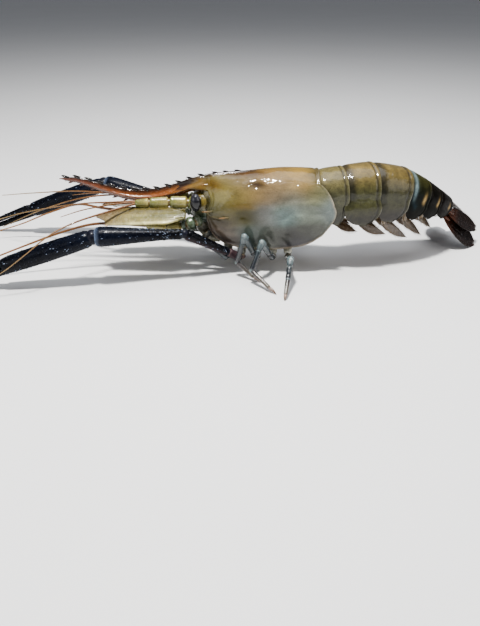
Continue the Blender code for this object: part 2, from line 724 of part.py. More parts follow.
def ring_section(i, share):
    """The section of ring i at a share of its length: (section, centre, pitch, yaw)."""
    pitch = PITCHES[i] + (PITCHES[i + 1] - PITCHES[i]) * share
    yaw = YAWS[i] + (YAWS[i + 1] - YAWS[i]) * share
    swell = TUCK * (1 - min(1.0, share / 0.3)) ** 1.5
    width = RING_HALF_WIDTHS[i] + (RING_HALF_WIDTHS[i + 1] - RING_HALF_WIDTHS[i]) * share - swell
    rise = RING_RISES[i] + (RING_RISES[i + 1] - RING_RISES[i]) * share - swell * 0.8
    drop = RING_DROPS[i] + (RING_DROPS[i + 1] - RING_DROPS[i]) * share
    bow = 0.5 * sin(pi * share)
    centre = AXIS[i].lerp(AXIS[i + 1], share)
    return arch(width + bow, rise + bow, drop, 3.4), centre, pitch, yaw


def side_flap(i, side):
    """The rounded flap of shell at the side of ring i."""
    half_share, hang, shift = FLAPS[i]
    length = RING_LENGTHS[i]
    out = FLAP_OUT[i]
    grid = []
    for a in range(7):
        sway = 2 * a / 6 - 1
        share = 0.5 + shift + half_share * sway
        clipped = min(1.0, max(0.0, share))
        _, centre, pitch, yaw = ring_section(i, clipped)
        forward, across, up = directions(pitch, yaw)
        centre = centre + forward * (length * (share - clipped))
        width = RING_HALF_WIDTHS[i] + (RING_HALF_WIDTHS[i + 1] - RING_HALF_WIDTHS[i]) * clipped
        drop = RING_DROPS[i] + (RING_DROPS[i + 1] - RING_DROPS[i]) * clipped
        low = -drop + 3.0 - (hang + 3.0) * sqrt(max(0.02, 1 - sway**2))
        high = low + (0.35 * drop - 0.5 - low) * (1.0 if i == 1 else 0.8) * sqrt(max(0.03, 1 - sway**4)) * 0.8
        row = []
        for b in range(5):
            height = high + (low - high) * b / 4
            fall = max(0.0, -height) / (drop + hang)
            reach = width * (1.0 - 0.10 * fall**2) + out
            row.append(centre + across * (side * reach) + up * height)
        grid.append(row)
    return sheet("flap", grid, 1.2, OLIVE)


def build_abdomen():
    for i in range(6):
        rings = []
        length = RING_LENGTHS[i]
        ends = (GAP / 2 / length, 0.2, 0.55, 1 - GAP / 2 / length)
        for share in ends:
            rings.append(placed(*ring_section(i, share)))
        ring = loft(f"abdomen_ring_{i + 1}", rings, OLIVE)
        fuse(ring, [side_flap(i, side) for side in SIDES.values()])


# Swimming legs under the rings: stalk length and blade length of each pair
SWIMMERS = ((8.0, 15.0), (9.5, 19.0), (10.0, 20.0), (8.5, 17.0), (6.0, 12.0))


def build_swimmers():
    for i, (stalk, blade) in enumerate(SWIMMERS):
        section, centre, pitch, yaw = ring_section(i, 0.5)
        forward, across, up = directions(pitch, yaw)
        drop = (RING_DROPS[i] + RING_DROPS[i + 1]) / 2
        width = (RING_HALF_WIDTHS[i] + RING_HALF_WIDTHS[i + 1]) / 2
        down = (forward * 0.30 - up).normalized()
        for label, side in SIDES.items():
            root = centre + across * (side * width * 0.42) - up * (drop - 3.4 + GAP + 0.6)
            end = root + down * stalk
            path = [root, root + down * 1.5, end - down, end]
            base = limb(f"swimmeret_{i + 1}_{label}", path, (1.5, 1.9, 1.7, 1.2), SWIM_BROWN, 1)
            trail = (forward * 0.86 - up * 0.36).normalized()
            blades = []
            for inset, lean in ((0.9, -0.45), (-0.9, 0.15)):
                lie = up * 0.85 + across * (side * lean)
                start = end - down * 0.8 + across * (side * inset) - trail * 1.0
                widths = [blade * 0.17 * w for w in (0.55, 0.9, 1.0, 0.85, 0.3)]
                way = trail + across * (side * inset * 0.13)
                grid = leaf(start, way, lie, blade, widths, columns=3, rows=6)
                blades.append(sheet("blade", grid, 0.7, SWIM_BROWN))
            fuse(base, blades)


# Blades of the tail fan, which droops on the animal's left as in the photo: spread and slope in degrees,
# length, half width, how far out and down each is rooted, and how steeply its outer edge hangs
FAN_FLOOR = 0.45  # lowest height of a blade's middle surface
UROPODS = {
    ("inner", "left"): (8, 7, 34.0, 6.2, 6.0, 1.9, 1.4),
    ("outer", "left"): (14, 16, 37.0, 8.0, 5.1, 6.0, 1.6),
    ("inner", "right"): (10, 4, 34.0, 6.2, 3.6, 1.2, 0.15),
    ("outer", "right"): (26, 6, 37.0, 8.0, 5.8, 4.6, 0.15),
}


def build_tail_fan():
    forward, across, up = directions(PITCHES[6], YAWS[6])
    root = AXIS[6] + forward * GAP
    rings = []
    sizes = ((0, 6.0, 4.6), (0.25, 5.4, 4.2), (0.6, 3.8, 3.0), (0.9, 2.0, 1.5), (1.0, 0.8, 0.9))
    for share, half_width, thick in sizes:
        middle = root + forward * (TELSON_LENGTH * share) + up * (3.6 - 3.0 * share**1.5)
        angles = [2 * pi * k / 10 for k in range(10)]
        ring = [(half_width * cos(a), thick / 2 * power(sin(a), 1.2)) for a in angles]
        rings.append(placed(ring, middle, PITCHES[6], YAWS[6]))
    loft("telson", rings, DARK_TAIL)
    for (kind, label), (spread, slope, length, half_width, out, down, tilt) in UROPODS.items():
        side = SIDES[label]
        turn, slope = radians(spread) * side, radians(slope)
        along = (forward * cos(turn) + across * sin(turn)) * cos(slope) - up * sin(slope)
        lie = (across * cos(turn) - forward * sin(turn)) - up * tilt * side
        widths = [half_width * w for w in (0.36, 0.72, 0.95, 1.0, 0.92, 0.66, 0.20)]
        at = root + across * (side * out) - up * down + forward * 1.5
        grid = leaf(at, along, lie, length, widths, crown=0.7 * side, rows=9)
        grid = [[Vector((q.x, q.y, max(q.z, FAN_FLOOR))) for q in row] for row in grid]
        sheet(f"uropod_{kind}_{label}", grid, 0.9, DARK_TAIL)


def centre_on_floor():
    """Moves everything so that the origin is the middle of the box's underside."""
    bpy.context.view_layer.update()
    graph = bpy.context.evaluated_depsgraph_get()
    spots = []
    for made in PRAWN.objects:
        shown = made.evaluated_get(graph)
        mesh = shown.to_mesh()
        spots.extend(shown.matrix_world @ v.co for v in mesh.vertices)
        shown.to_mesh_clear()
    low = Vector([min(p[k] for p in spots) for k in range(3)])
    high = Vector([max(p[k] for p in spots) for k in range(3)])
    holder = bpy.data.objects.new("prawn_origin", None)
    PRAWN.objects.link(holder)
    for made in PRAWN.objects:
        if made is not holder:
            made.parent = holder
    holder.location = (-(low.x + high.x) / 2, -(low.y + high.y) / 2, -low.z)


def main():
    build_carapace()
    build_rostrum()
    build_thorax()
    build_eyes()
    build_feelers()
    build_scales()
    build_mouthparts()
    build_walking_legs()
    build_small_claws()
    build_great_claws()
    build_abdomen()
    build_swimmers()
    build_tail_fan()
    centre_on_floor()


main()
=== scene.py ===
# Giant river prawn, adult male, life size, as a still display model: looks, light and camera.
# Shapes are given in the body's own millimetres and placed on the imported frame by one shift.
# +X runs to the tail, -Y is the animal's left side, the one turned to the camera, and the floor is at 0.

import random
from functools import cache
from math import ceil, cos, exp, pi, radians, sin, sqrt

import bmesh
import bpy
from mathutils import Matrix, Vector, noise


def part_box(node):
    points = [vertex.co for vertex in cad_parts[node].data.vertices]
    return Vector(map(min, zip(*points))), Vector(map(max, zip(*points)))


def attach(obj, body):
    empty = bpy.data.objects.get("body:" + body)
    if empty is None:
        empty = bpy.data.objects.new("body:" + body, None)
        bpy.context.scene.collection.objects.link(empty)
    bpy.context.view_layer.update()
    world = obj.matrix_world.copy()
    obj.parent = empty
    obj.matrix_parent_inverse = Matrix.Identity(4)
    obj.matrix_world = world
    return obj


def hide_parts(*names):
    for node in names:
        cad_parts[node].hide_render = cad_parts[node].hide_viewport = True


MM = 0.001
FLOOR_GAP = 0.03  # how far toes and claw tips keep off the floor
FLOOR_REACH = 9.0  # in metres, far past the picture's edges
SHELL_THICKNESS, RING_THICKNESS = 0.9, 0.7
BROW_HEIGHT = 49.5  # the height to which the brow narrows
GOLDEN_SHARE = 0.618034  # of a turn between two spines, so that no two rows line up
SIDES = {"left": -1, "right": 1}
RNG = random.Random(7)

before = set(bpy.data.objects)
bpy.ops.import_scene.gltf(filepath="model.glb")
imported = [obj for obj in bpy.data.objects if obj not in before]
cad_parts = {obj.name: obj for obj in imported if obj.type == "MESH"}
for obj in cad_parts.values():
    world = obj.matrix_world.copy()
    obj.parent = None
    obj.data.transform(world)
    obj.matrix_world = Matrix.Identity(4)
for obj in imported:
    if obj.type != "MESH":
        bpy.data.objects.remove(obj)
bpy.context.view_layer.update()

EYE_CENTRE = Vector((-44.0, -13.2, 45.4))
EYE_RADII = (3.1, 3.1, 4.9)
low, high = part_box("eye_left")
SHIFT = (Vector(low) + Vector(high)) / 2 - EYE_CENTRE * MM  # from the body's own measures to the frame

# Camera: 34 mm lens, looking down on the prawn's left side
CAMERA_PLACE = Vector((-17.6, -349.2, 167.1))
CAMERA_DOWN = 30.466
CAMERA_LENS = 34.0


@cache
def srgb(text):
    """A colour written as six hex digits, as linear RGB."""
    parts = [int(text[i:i + 2], 16) / 255 for i in (0, 2, 4)]
    return tuple(c / 12.92 if c <= 0.04045 else ((c + 0.055) / 1.055) ** 2.4 for c in parts)


def rgb(colour):
    """The linear RGB of a colour, which may be written as six hex digits."""
    return srgb(colour) if isinstance(colour, str) else colour


def mix(a, b, share):
    """Between two numbers, points or colours."""
    share = min(1.0, max(0.0, share))
    if isinstance(a, (str, tuple)):
        return tuple(p + (q - p) * share for p, q in zip(rgb(a), rgb(b)))
    return a + (b - a) * share


def step(low_end, high_end, value):
    """0 below the low end, 1 above the high end, and a smooth rise between."""
    share = min(1.0, max(0.0, (value - low_end) / (high_end - low_end)))
    return share * share * (3 - 2 * share)


def along_table(table, at):
    """The values at any place along a table, whose first column gives the places, on a smooth curve."""
    rows = sorted(table)
    at = min(rows[-1][0], max(rows[0][0], at))
    k = max(i for i in range(len(rows) - 1) if rows[i][0] <= at or i == 0)
    b, c = rows[k], rows[k + 1]
    a, d = rows[max(0, k - 1)], rows[min(len(rows) - 1, k + 2)]
    t = (at - b[0]) / (c[0] - b[0])
    values = []
    for i in range(1, len(b)):
        slope_b = (c[i] - a[i]) / (c[0] - a[0]) * (c[0] - b[0])
        slope_c = (d[i] - b[i]) / (d[0] - b[0]) * (c[0] - b[0])
        values.append((2 * t**3 - 3 * t**2 + 1) * b[i] + (t**3 - 2 * t**2 + t) * slope_b
                      + (3 * t**2 - 2 * t**3) * c[i] + (t**3 - t**2) * slope_c)
    return values


def curved(points, steps):
    """A smooth path through points, with the given number of steps between each two."""
    spots = [Vector(p) for p in points]
    spots = [2 * spots[0] - spots[1]] + spots + [2 * spots[-1] - spots[-2]]
    path = []
    for a, b, c, d in zip(spots, spots[1:], spots[2:], spots[3:]):
        for i in range(steps):
            t = i / steps
            path.append(0.5 * (2 * b + (c - a) * t + (2 * a - 5 * b + 4 * c - d) * t**2
                               + (3 * b - a - 3 * c + d) * t**3))
    return path + [spots[-2]]


def turns(count):
    """Even angles round a circle."""
    return [2 * pi * k / count for k in range(count)]


def bell(value, middle, width):
    """1 at the middle, falling smoothly to nothing a few widths away."""
    return exp(-(((value - middle) / width) ** 2))


def power(value, exponent):
    """The power of a number's size, with the number's sign."""
    return (abs(value) ** exponent) * (1 if value >= 0 else -1)


def mirrored(points, side):
    """Left-side points turned to the given side."""
    return [Vector((x, y * -side, z)) for x, y, z in points]


class Form:
    """A piece in the making: points in the body's own millimetres, faces, and a colour for each point."""

    def __init__(self, name):
        self.name = name
        self.points = []
        self.faces = []
        self.colours = []

    def add(self, points, faces, colour):
        first = len(self.points)
        self.points.extend(points)
        self.faces.extend(tuple(first + k for k in face) for face in faces)
        for p in points:
            self.colours.append(rgb(colour(p) if callable(colour) else colour))

    def grid(self, rows, colour, around=False, ends=False):
        """Faces over rows of points. around joins each row's ends, ends closes the first and last row."""
        count = len(rows[0])
        points = [Vector(p) for row in rows for p in row]
        faces = []
        for i in range(len(rows) - 1):
            for j in range(count if around else count - 1):
                k = (j + 1) % count
                faces.append((i * count + j, i * count + k, (i + 1) * count + k, (i + 1) * count + j))
        if ends:
            faces.append(tuple(range(count)))
            faces.append(tuple((len(rows) - 1) * count + j for j in range(count)))
        self.add(points, faces, colour)

    def plate(self, rows, thickness, colour):
        """A thin closed plate over rows of points, thinner towards its rim."""
        count, total = len(rows[0]), len(rows)
        upper, lower = [], []
        for i in range(total):
            a, b = rows[max(0, i - 1)], rows[min(total - 1, i + 1)]
            over, under = [], []
            for j in range(count):
                across = Vector(rows[i][min(count - 1, j + 1)]) - Vector(rows[i][max(0, j - 1)])
                normal = (Vector(b[j]) - Vector(a[j])).cross(across)
                normal = normal.normalized() if normal.length > 1e-9 else Vector((0, 0, 1))
                rim = min(i, total - 1 - i, j, count - 1 - j)
                half = thickness / 2 * (0.3, 0.75, 1.0)[min(2, rim)]
                over.append(Vector(rows[i][j]) + normal * half)
                under.append(Vector(rows[i][j]) - normal * half)
            upper.append(over)
            lower.append(under)
        loops = [upper[i] + lower[i][::-1] for i in range(total)]
        self.grid(loops, colour, around=True, ends=True)

    def tube(self, path, radii, colour, sides=12, flat=1.0, flat_way=(0, 0, 1)):
        """A round or flattened limb along a path. flat narrows it along flat_way."""
        rings = []
        way = Vector(flat_way)
        for i, spot in enumerate(path):
            ahead = (path[min(len(path) - 1, i + 1)] - path[max(0, i - 1)]).normalized()
            up = (way - ahead * way.dot(ahead)).normalized()
            out = ahead.cross(up)
            rings.append([spot + out * (radii[i] * cos(a)) + up * (radii[i] * flat * sin(a))
                          for a in turns(sides)])
        self.grid(rings, colour, around=True, ends=True)

    def spine(self, root, tip, radius, colour, sides=5):
        root, tip = Vector(root), Vector(tip)
        ahead = (tip - root).normalized()
        out = ahead.orthogonal().normalized()
        other = ahead.cross(out)
        ring = [root + out * (radius * cos(a)) + other * (radius * sin(a)) for a in turns(sides)]
        faces = [(k, (k + 1) % sides, sides) for k in range(sides)] + [tuple(range(sides))[::-1]]
        self.add(ring + [tip], faces, colour)

    def ball(self, centre, radii, colour, rings, sides):
        """A ball, or an egg where three radii are given."""
        wide, deep, tall = radii if isinstance(radii, (tuple, list)) else (radii,) * 3
        rows = []
        for i in range(rings + 1):
            a = pi * min(rings - 0.02, max(0.02, i)) / rings
            out, up = sin(a), cos(a)
            ring = [Vector((wide * out * cos(b), deep * out * sin(b), tall * up)) for b in turns(sides)]
            rows.append([Vector(centre) + spot for spot in ring])
        self.grid(rows, colour, around=True, ends=True)

    def build(self, look, nodes, slot):
        """The finished piece, which rides on the body and stands for its CAD nodes."""
        mesh = bpy.data.meshes.new(self.name)
        mesh.from_pydata([p * MM + SHIFT for p in self.points], [], self.faces)
        paint = mesh.color_attributes.new("paint", "FLOAT_COLOR", "POINT")
        paint.data.foreach_set("color", [v for c in self.colours for v in (*c, 1.0)])
        bm = bmesh.new()
        bm.from_mesh(mesh)
        bmesh.ops.recalc_face_normals(bm, faces=bm.faces)
        bm.to_mesh(mesh)
        bm.free()
        mesh.shade_smooth()
        mesh.materials.append(look)
        made = place_object(self.name, mesh)
        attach(made, "root")
        if nodes:
            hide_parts(*nodes)
        return made

    def stay_above(self, height):
        """Lift the points that lie below a height."""
        for p in self.points:
            p.z = max(height, p.z)


def place_object(name, data):
    """A new object in the scene that shows a mesh, a lamp or a camera."""
    made = bpy.data.objects.new(name, data)
    bpy.context.scene.collection.objects.link(made)
    return made


def new_material(name):
    """A material, the sockets of its shader, its links, and a way to add a node, whose inputs are given as
    values or as sockets to join."""
    made = bpy.data.materials.new(name)
    made.use_nodes = True
    nodes, links = made.node_tree.nodes, made.node_tree.links

    def add(kind, inputs, **settings):
        node = nodes.new("ShaderNode" + kind)
        for key, value in settings.items():
            setattr(node, key, value)
        for key, value in inputs.items():
            if isinstance(value, bpy.types.NodeSocket):
                links.new(value, node.inputs[key])
            else:
                node.inputs[key].default_value = value
        return node.outputs
    return made, nodes["Principled BSDF"].inputs, links, add


def shell_look(name, rough=(0.14, 0.34), coat=0.6, mottle=0.22, mottle_size=5.0, grain=0.12, grain_size=0.9,
               bump=0.35, freckles=None, stretch=(1, 1, 1), soft=0.0, shine=0.5, ripple=0.5):
    """Wet shell: the piece's own painted colours, broken up by mottling, grain and freckles, under a clear
    film. Sizes are in mm. freckles is (colour, size, share of the surface), and ripple unevens the film."""
    made, shader, links, add = new_material(name)
    place = add("TexCoord", {})["Object"]
    place = add("VectorMath", {0: place, 1: stretch}, operation="MULTIPLY")[0]
    paint = add("Attribute", {}, attribute_name="paint")["Color"]

    def noise_of(size, detail=4.0, warp=0.0):
        inputs = {"Vector": place, "Scale": 1000 / size, "Detail": detail, "Distortion": warp}
        return add("TexNoise", inputs)["Fac"]

    def ranged(value, low_end, high_end, start=0.3, end=0.7):
        inputs = {"Value": value, "From Min": start, "From Max": end, "To Min": low_end, "To Max": high_end}
        return add("MapRange", inputs)["Result"]

    broad = noise_of(mottle_size, 5.0, 0.6)
    fine = noise_of(grain_size, 3.0)
    tone = add("Math", {0: ranged(broad, 1 - mottle, 1 + mottle), 1: ranged(fine, 1 - grain, 1 + grain)},
               operation="MULTIPLY")[0]
    colour = add("VectorMath", {0: paint, "Scale": tone}, operation="SCALE")[0]
    if freckles:
        tint, size, share = freckles
        spots = add("TexVoronoi", {"Vector": place, "Scale": 1000 / size})["Distance"]
        amount = ranged(spots, 0.75, 0.0, share * 0.5, share)
        colour = add("Mix", {0: amount, 6: colour, 7: (*rgb(tint), 1)}, data_type="RGBA")[2]
    links.new(colour, shader["Base Color"])
    links.new(ranged(noise_of(mottle_size * 0.4), *rough), shader["Roughness"])
    height = add("Math", {0: fine, 1: broad}, operation="ADD")[0]
    relief = add("Bump", {"Strength": bump, "Distance": 0.0004, "Height": height})
    links.new(relief["Normal"], shader["Normal"])
    film = add("Bump", {"Strength": ripple, "Distance": 0.0008, "Height": noise_of(3.2, 2.0, 0.4)})
    links.new(film["Normal"], shader["Coat Normal"])
    shader["Coat Weight"].default_value = coat
    shader["Coat Roughness"].default_value = 0.035
    shader["Specular IOR Level"].default_value = shine
    shader["Subsurface Weight"].default_value = soft
    shader["Subsurface Radius"].default_value = (0.004, 0.003, 0.002)
    return made


# Looks
SHELL_WET = shell_look("wet_olive_shell", rough=(0.42, 0.62), mottle=0.24, mottle_size=7.0, grain=0.10,
                       grain_size=0.8, bump=0.22, freckles=("3c3216", 1.0, 0.16), stretch=(0.7, 1, 1.1),
                       soft=0.05, shine=0.2, coat=0.75)
RING_SKIN = {"rough": (0.40, 0.60), "mottle": 0.32, "mottle_size": 3.6, "grain": 0.14, "grain_size": 0.6,
             "bump": 0.28, "freckles": ("1c180a", 0.9, 0.24), "ripple": 0.45}
RING_WET = shell_look("wet_ring_shell", soft=0.03, shine=0.2, coat=0.7, **RING_SKIN)
DARK_RING_WET = shell_look("wet_dark_ring", shine=0.04, coat=0.16, **RING_SKIN)
ROSTRUM_WET = shell_look("wet_rostrum", mottle=0.25, mottle_size=3.0, grain=0.12, bump=0.3, soft=0.10,
                         stretch=(0.5, 1, 1))
CLAW_WET = shell_look("wet_claw", rough=(0.2, 0.4), mottle=0.35, mottle_size=3.0, grain=0.25,
                      grain_size=0.7, bump=0.3, coat=0.09, shine=0.12)
LEG_WET = shell_look("wet_leg", mottle=0.28, mottle_size=4.0, grain=0.12, bump=0.25, soft=0.08,
                     stretch=(1, 1, 0.4))
FEELER = shell_look("feeler", rough=(0.25, 0.45), mottle=0.25, mottle_size=2.0, grain=0.3, grain_size=0.35,
                    bump=0.3, coat=0.3, soft=0.1)
PALE_WET = shell_look("wet_pale_shell", mottle=0.30, mottle_size=4.0, grain=0.12, bump=0.22, soft=0.18,
                      freckles=("5f5a34", 1.2, 0.15))
TAIL_WET = shell_look("wet_tail_fan", mottle=0.35, mottle_size=3.0, grain=0.2, grain_size=0.6, bump=0.25,
                      freckles=("2a170e", 1.2, 0.25), coat=0.35, shine=0.12)
EYE_WET = shell_look("wet_eye", rough=(0.05, 0.10), mottle=0.15, grain=0.12, grain_size=0.18, bump=0.04,
                     coat=0.5, shine=0.35)
HAIR = shell_look("bristles", rough=(0.4, 0.6), coat=0.0, mottle=0.3, bump=0.0)


def build_floor():
    floor = bpy.data.meshes.new("floor")
    corners = [(x * FLOOR_REACH, y * FLOOR_REACH, 0) for x, y in ((-1, -1), (1, -1), (1, 1), (-1, 1))]
    floor.from_pydata(corners, [], [(0, 1, 2, 3)])
    made = place_object("floor", floor)
    paper, shader, links, add = new_material("pale_floor")
    place = add("TexCoord", {})["Object"]
    cloud = add("TexNoise", {"Vector": place, "Scale": 6.0, "Detail": 3.0})["Fac"]
    shade = add("MapRange", {"Value": cloud, "To Min": 0.72, "To Max": 0.76})["Result"]
    links.new(shade, shader["Base Color"])
    shader["Roughness"].default_value = 0.65
    floor.materials.append(paper)


def soft_light(name, place, aim, size, energy, tint):
    """A rectangular lamp, placed and aimed in the body's own millimetres."""
    lamp = bpy.data.lights.new(name, "AREA")
    lamp.shape = "RECTANGLE"
    lamp.size, lamp.size_y = size
    lamp.energy = energy
    lamp.color = tint
    made = place_object(name, lamp)
    made.location = Vector(place) * MM + SHIFT
    made.rotation_euler = (Vector(aim) - Vector(place)).to_track_quat("-Z", "Y").to_euler()


def build_studio():
    soft_light("key", (-90, -130, 735), (-10, 0, 40), (0.08, 0.06), 9.5, (1.0, 0.98, 0.95))
    soft_light("sky", (120, 160, 800), (-10, 0, 30), (0.8, 0.6), 3.6, (0.93, 0.96, 1.0))
    soft_light("front_fill", (-500, -420, 260), (-60, 0, 30), (0.4, 0.4), 0.9, (0.95, 0.97, 1.0))
    soft_light("tail_fill", (520, -260, 300), (60, 0, 30), (0.4, 0.4), 0.9, (1.0, 0.97, 0.94))
    world = bpy.data.worlds.new("studio")
    world.use_nodes = True
    sky = world.node_tree.nodes["Background"].inputs
    sky["Color"].default_value = (0.90, 0.93, 1.0, 1)
    sky["Strength"].default_value = 0.2
    bpy.context.scene.world = world
    bpy.context.scene.view_settings.look = "AgX - Medium High Contrast"


def build_camera():
    lens = bpy.data.cameras.new("camera")
    lens.lens = CAMERA_LENS
    lens.sensor_width = 36.0
    lens.sensor_fit = "AUTO"
    lens.clip_start = 0.01
    eye = place_object("camera", lens)
    eye.location = CAMERA_PLACE * MM + SHIFT
    eye.rotation_euler = (radians(90 - CAMERA_DOWN), 0, 0)
    bpy.context.scene.camera = eye


# Carapace sections: X, half width, top, height of the widest line, lower edge, and how ridged the back is
CARAPACE = (
    (42, 17.4, 60.5, 44, 31.0, 0.92),
    (31, 17.2, 61.5, 43, 24.0, 0.92),
    (26, 18.0, 62.0, 42, 21.0, 0.92),
    (18, 18.5, 62.4, 41, 18.0, 0.92),
    (6, 18.3, 62.4, 40, 16.3, 0.92),
    (-6, 17.2, 61.4, 39, 16.0, 0.92),
    (-16, 15.8, 60.4, 38, 16.2, 0.95),
    (-25, 14.2, 59.6, 38, 18.0, 1.05),
    (-32, 12.6, 58.9, 38, 21.5, 1.25),
    (-36, 11.4, 58.5, 38, 26.5, 1.5),
    (-38, 10.4, 58.2, 39, 31.0, 1.6),
)
CARAPACE_REAR, CARAPACE_FRONT = 31.0, -38.0
CORNER_REACH = 10.0  # how far the rear corners reach back
FLANK = 42.0  # about how far it is from the middle of the back to the lower edge
SHELL_SINK = 0.15  # how far the whole shell lies inside the solid

# Colours of the carapace's flank, by X and height, as seen on the animal
# the pale tones at X 6 and 18, height 58, are lifted by painted highlight
SHELL_TONES = (
    (-16, 62, "6b5430"), (3, 62, "a38450"), (18, 62, "b89a5c"), (29, 61, "5f5c42"), (-16, 57, "918161"),
    (-5, 59, "977b52"), (6, 58, "bda57f"), (18, 58, "c9ad80"), (-27, 50, "a2996a"), (-17, 50, "ab9c72"),
    (-7, 51, "a08c6e"), (3, 51, "ab9d8a"), (14, 50, "96968c"), (28, 51, "9a987c"), (-34, 40, "716e50"),
    (-22, 38, "887e5c"), (-14, 38, "4f5036"), (-3, 40, "9a9a96"), (9, 40, "95a8a4"), (24, 40, "acb4a6"),
    (37, 43, "a3adab"), (-34, 30, "7c6f62"), (-26, 25, "93887b"), (-12, 26, "7f8a84"), (0, 25, "8a8c84"),
    (13, 25, "55544f"), (25, 29, "6c6d66"), (18, 20, "57545a"), (-28, 19, "54484a"),
)
SHELL_MARKS = (  # darker marks: X, height, half length, half height, colour, strength
    (-7.5, 55.6, 5.2, 1.6, "4d3602", 1.0), (-15, 38.0, 6.0, 5.0, "4c4502", 0.85),
    (-29, 33.0, 6.0, 2.4, "50452a", 0.6), (-20, 22.5, 4.0, 2.0, "4a3e38", 0.5),
    (4, 24, 9.0, 3.0, "55574f", 0.2), (-22, 60.4, 17.0, 1.3, "5a3416", 0.8),
    (-35, 54.0, 8.0, 3.6, "6f4f20", 0.75), (-15, 43.5, 7.0, 2.0, "866a1e", 0.65),
    (-36, 24.0, 3.0, 4.0, "4a3c36", 0.6),
)
RIM = "b5a58c"  # the shell's pale edge


def deeper(colour, strength=1.4, light=0.37):
    """The colour with more saturation and less light, as on wet shell."""
    grey = sum(colour) / 3
    return tuple(max(0.002, grey + (c - grey) * strength) * light for c in colour)


def tone_at(x, z):
    """The carapace's colour at X and height: nearby tones blended, then the darker marks."""
    total, colour = 0.0, [0.0, 0.0, 0.0]
    for tx, tz, text in SHELL_TONES:
        weight = exp(-((x - tx) ** 2 / 60 + (z - tz) ** 2 / 32)) + 1e-9
        total += weight
        for k, part in enumerate(srgb(text)):
            colour[k] += part * weight
    colour = tuple(c / total for c in colour)
    for mx, mz, long, tall, text, strength in SHELL_MARKS:
        near = exp(-(((x - mx) / long) ** 2 + ((z - mz) / tall) ** 2) ** 1.3)
        colour = mix(colour, text, strength * near)
    return deeper(colour)


def shell_point(x, v, out=0.0):
    """A point of the carapace. v runs from -1 at the left lower edge over the back at 0 to 1."""
    half_width, top, widest, bottom, roof = along_table(CARAPACE, x)
    side, s = (-1 if v < 0 else 1), abs(v)
    if s > 0.5:
        t = (s - 0.5) * 2
        reach, z = half_width * (1 - 0.14 * t**2.4), widest - t * (widest - bottom)
        return Vector((x, side * (reach + out), z - out * 0.3 * t))
    angle = (1 - 2 * s) * pi / 2
    y, rise = half_width * power(cos(angle), roof), (top - widest) * power(sin(angle), 1.03 * roof)
    return Vector((x, side * (y + out * cos(angle)), widest + rise + out * sin(angle)))


def roof_height(x, y):
    """Height of the carapace's back at X and a small distance from its middle line."""
    half_width, top, widest, _, roof = along_table(CARAPACE, x)
    lean = (abs(y) / half_width) ** (1 / roof)
    return widest + (top - widest) * sqrt(1 - lean**2) ** (1.03 * roof)


def rear_edge(s):
    """X of the carapace's rear edge: its corners reach back over the first ring."""
    lobe = sin(pi * max(0.0, s - 0.25) / 0.79) ** 0.75
    return CARAPACE_REAR - 1.2 + CORNER_REACH * lobe


def front_edge(s):
    """X of its front edge: hollow round the eye, with the spine below it standing out."""
    orbit = bell(s, 0.33, 0.10)
    return CARAPACE_FRONT + 2.4 * orbit


def arcs(x, z):
    """Soft pale and dark arcs round the middle of the gill chamber."""
    reach = sqrt(((x - 21) / 1.35) ** 2 + (z - 31) ** 2) + 0.8 * sin(0.35 * x) + 0.6 * sin(0.5 * z)
    return sin(0.85 * reach) * step(2, 5, reach) * step(19, 12, reach)


def relief(x, v, edge):
    """How far the carapace stands out from its plain section, at a distance from its nearest edge."""
    s, z = abs(v), shell_point(x, v).z
    rolled_rim = 0.35 * bell(edge, 0.75, 0.55) - 0.25 * bell(edge, 2.2, 0.8)
    neck_groove = 0.45 * bell(x + 0.35 * (s * FLANK - 20), -17, 2.0)
    neck_groove *= step(0.35, 0.5, s) * step(0.88, 0.75, s)
    cheek_ridge = 0.5 * bell(s - 0.002 * (x + 36), 0.57, 0.02) * step(-18, -34, x)
    chamber = sqrt(((x - 20) / 1.35) ** 2 + (z - 33) ** 2)
    gill_chamber = 0.45 * bell(chamber, 13, 2.2) - 0.35 * bell(chamber, 17, 1.6)
    jaw_hollow = 0.7 * bell(x, -14, 3.5) * bell(z, 38, 4.0)
    back_hollow = 0.4 * bell(x, -7.5, 4.0) * bell(z, 55.6, 1.4)
    uneven = 0.24 * noise.noise(Vector((x * 0.13, v * 4.6, 1.7))) * step(0.04, 0.16, s) * step(-37, -30, x)
    return rolled_rim - neck_groove + cheek_ridge + gill_chamber - jaw_hollow - back_hollow + uneven


def thicken(shell, thickness):
    """Gives a shell its thickness, on the inside."""
    thick = shell.modifiers.new("thickness", "SOLIDIFY")
    thick.thickness = thickness * MM
    thick.offset = -1


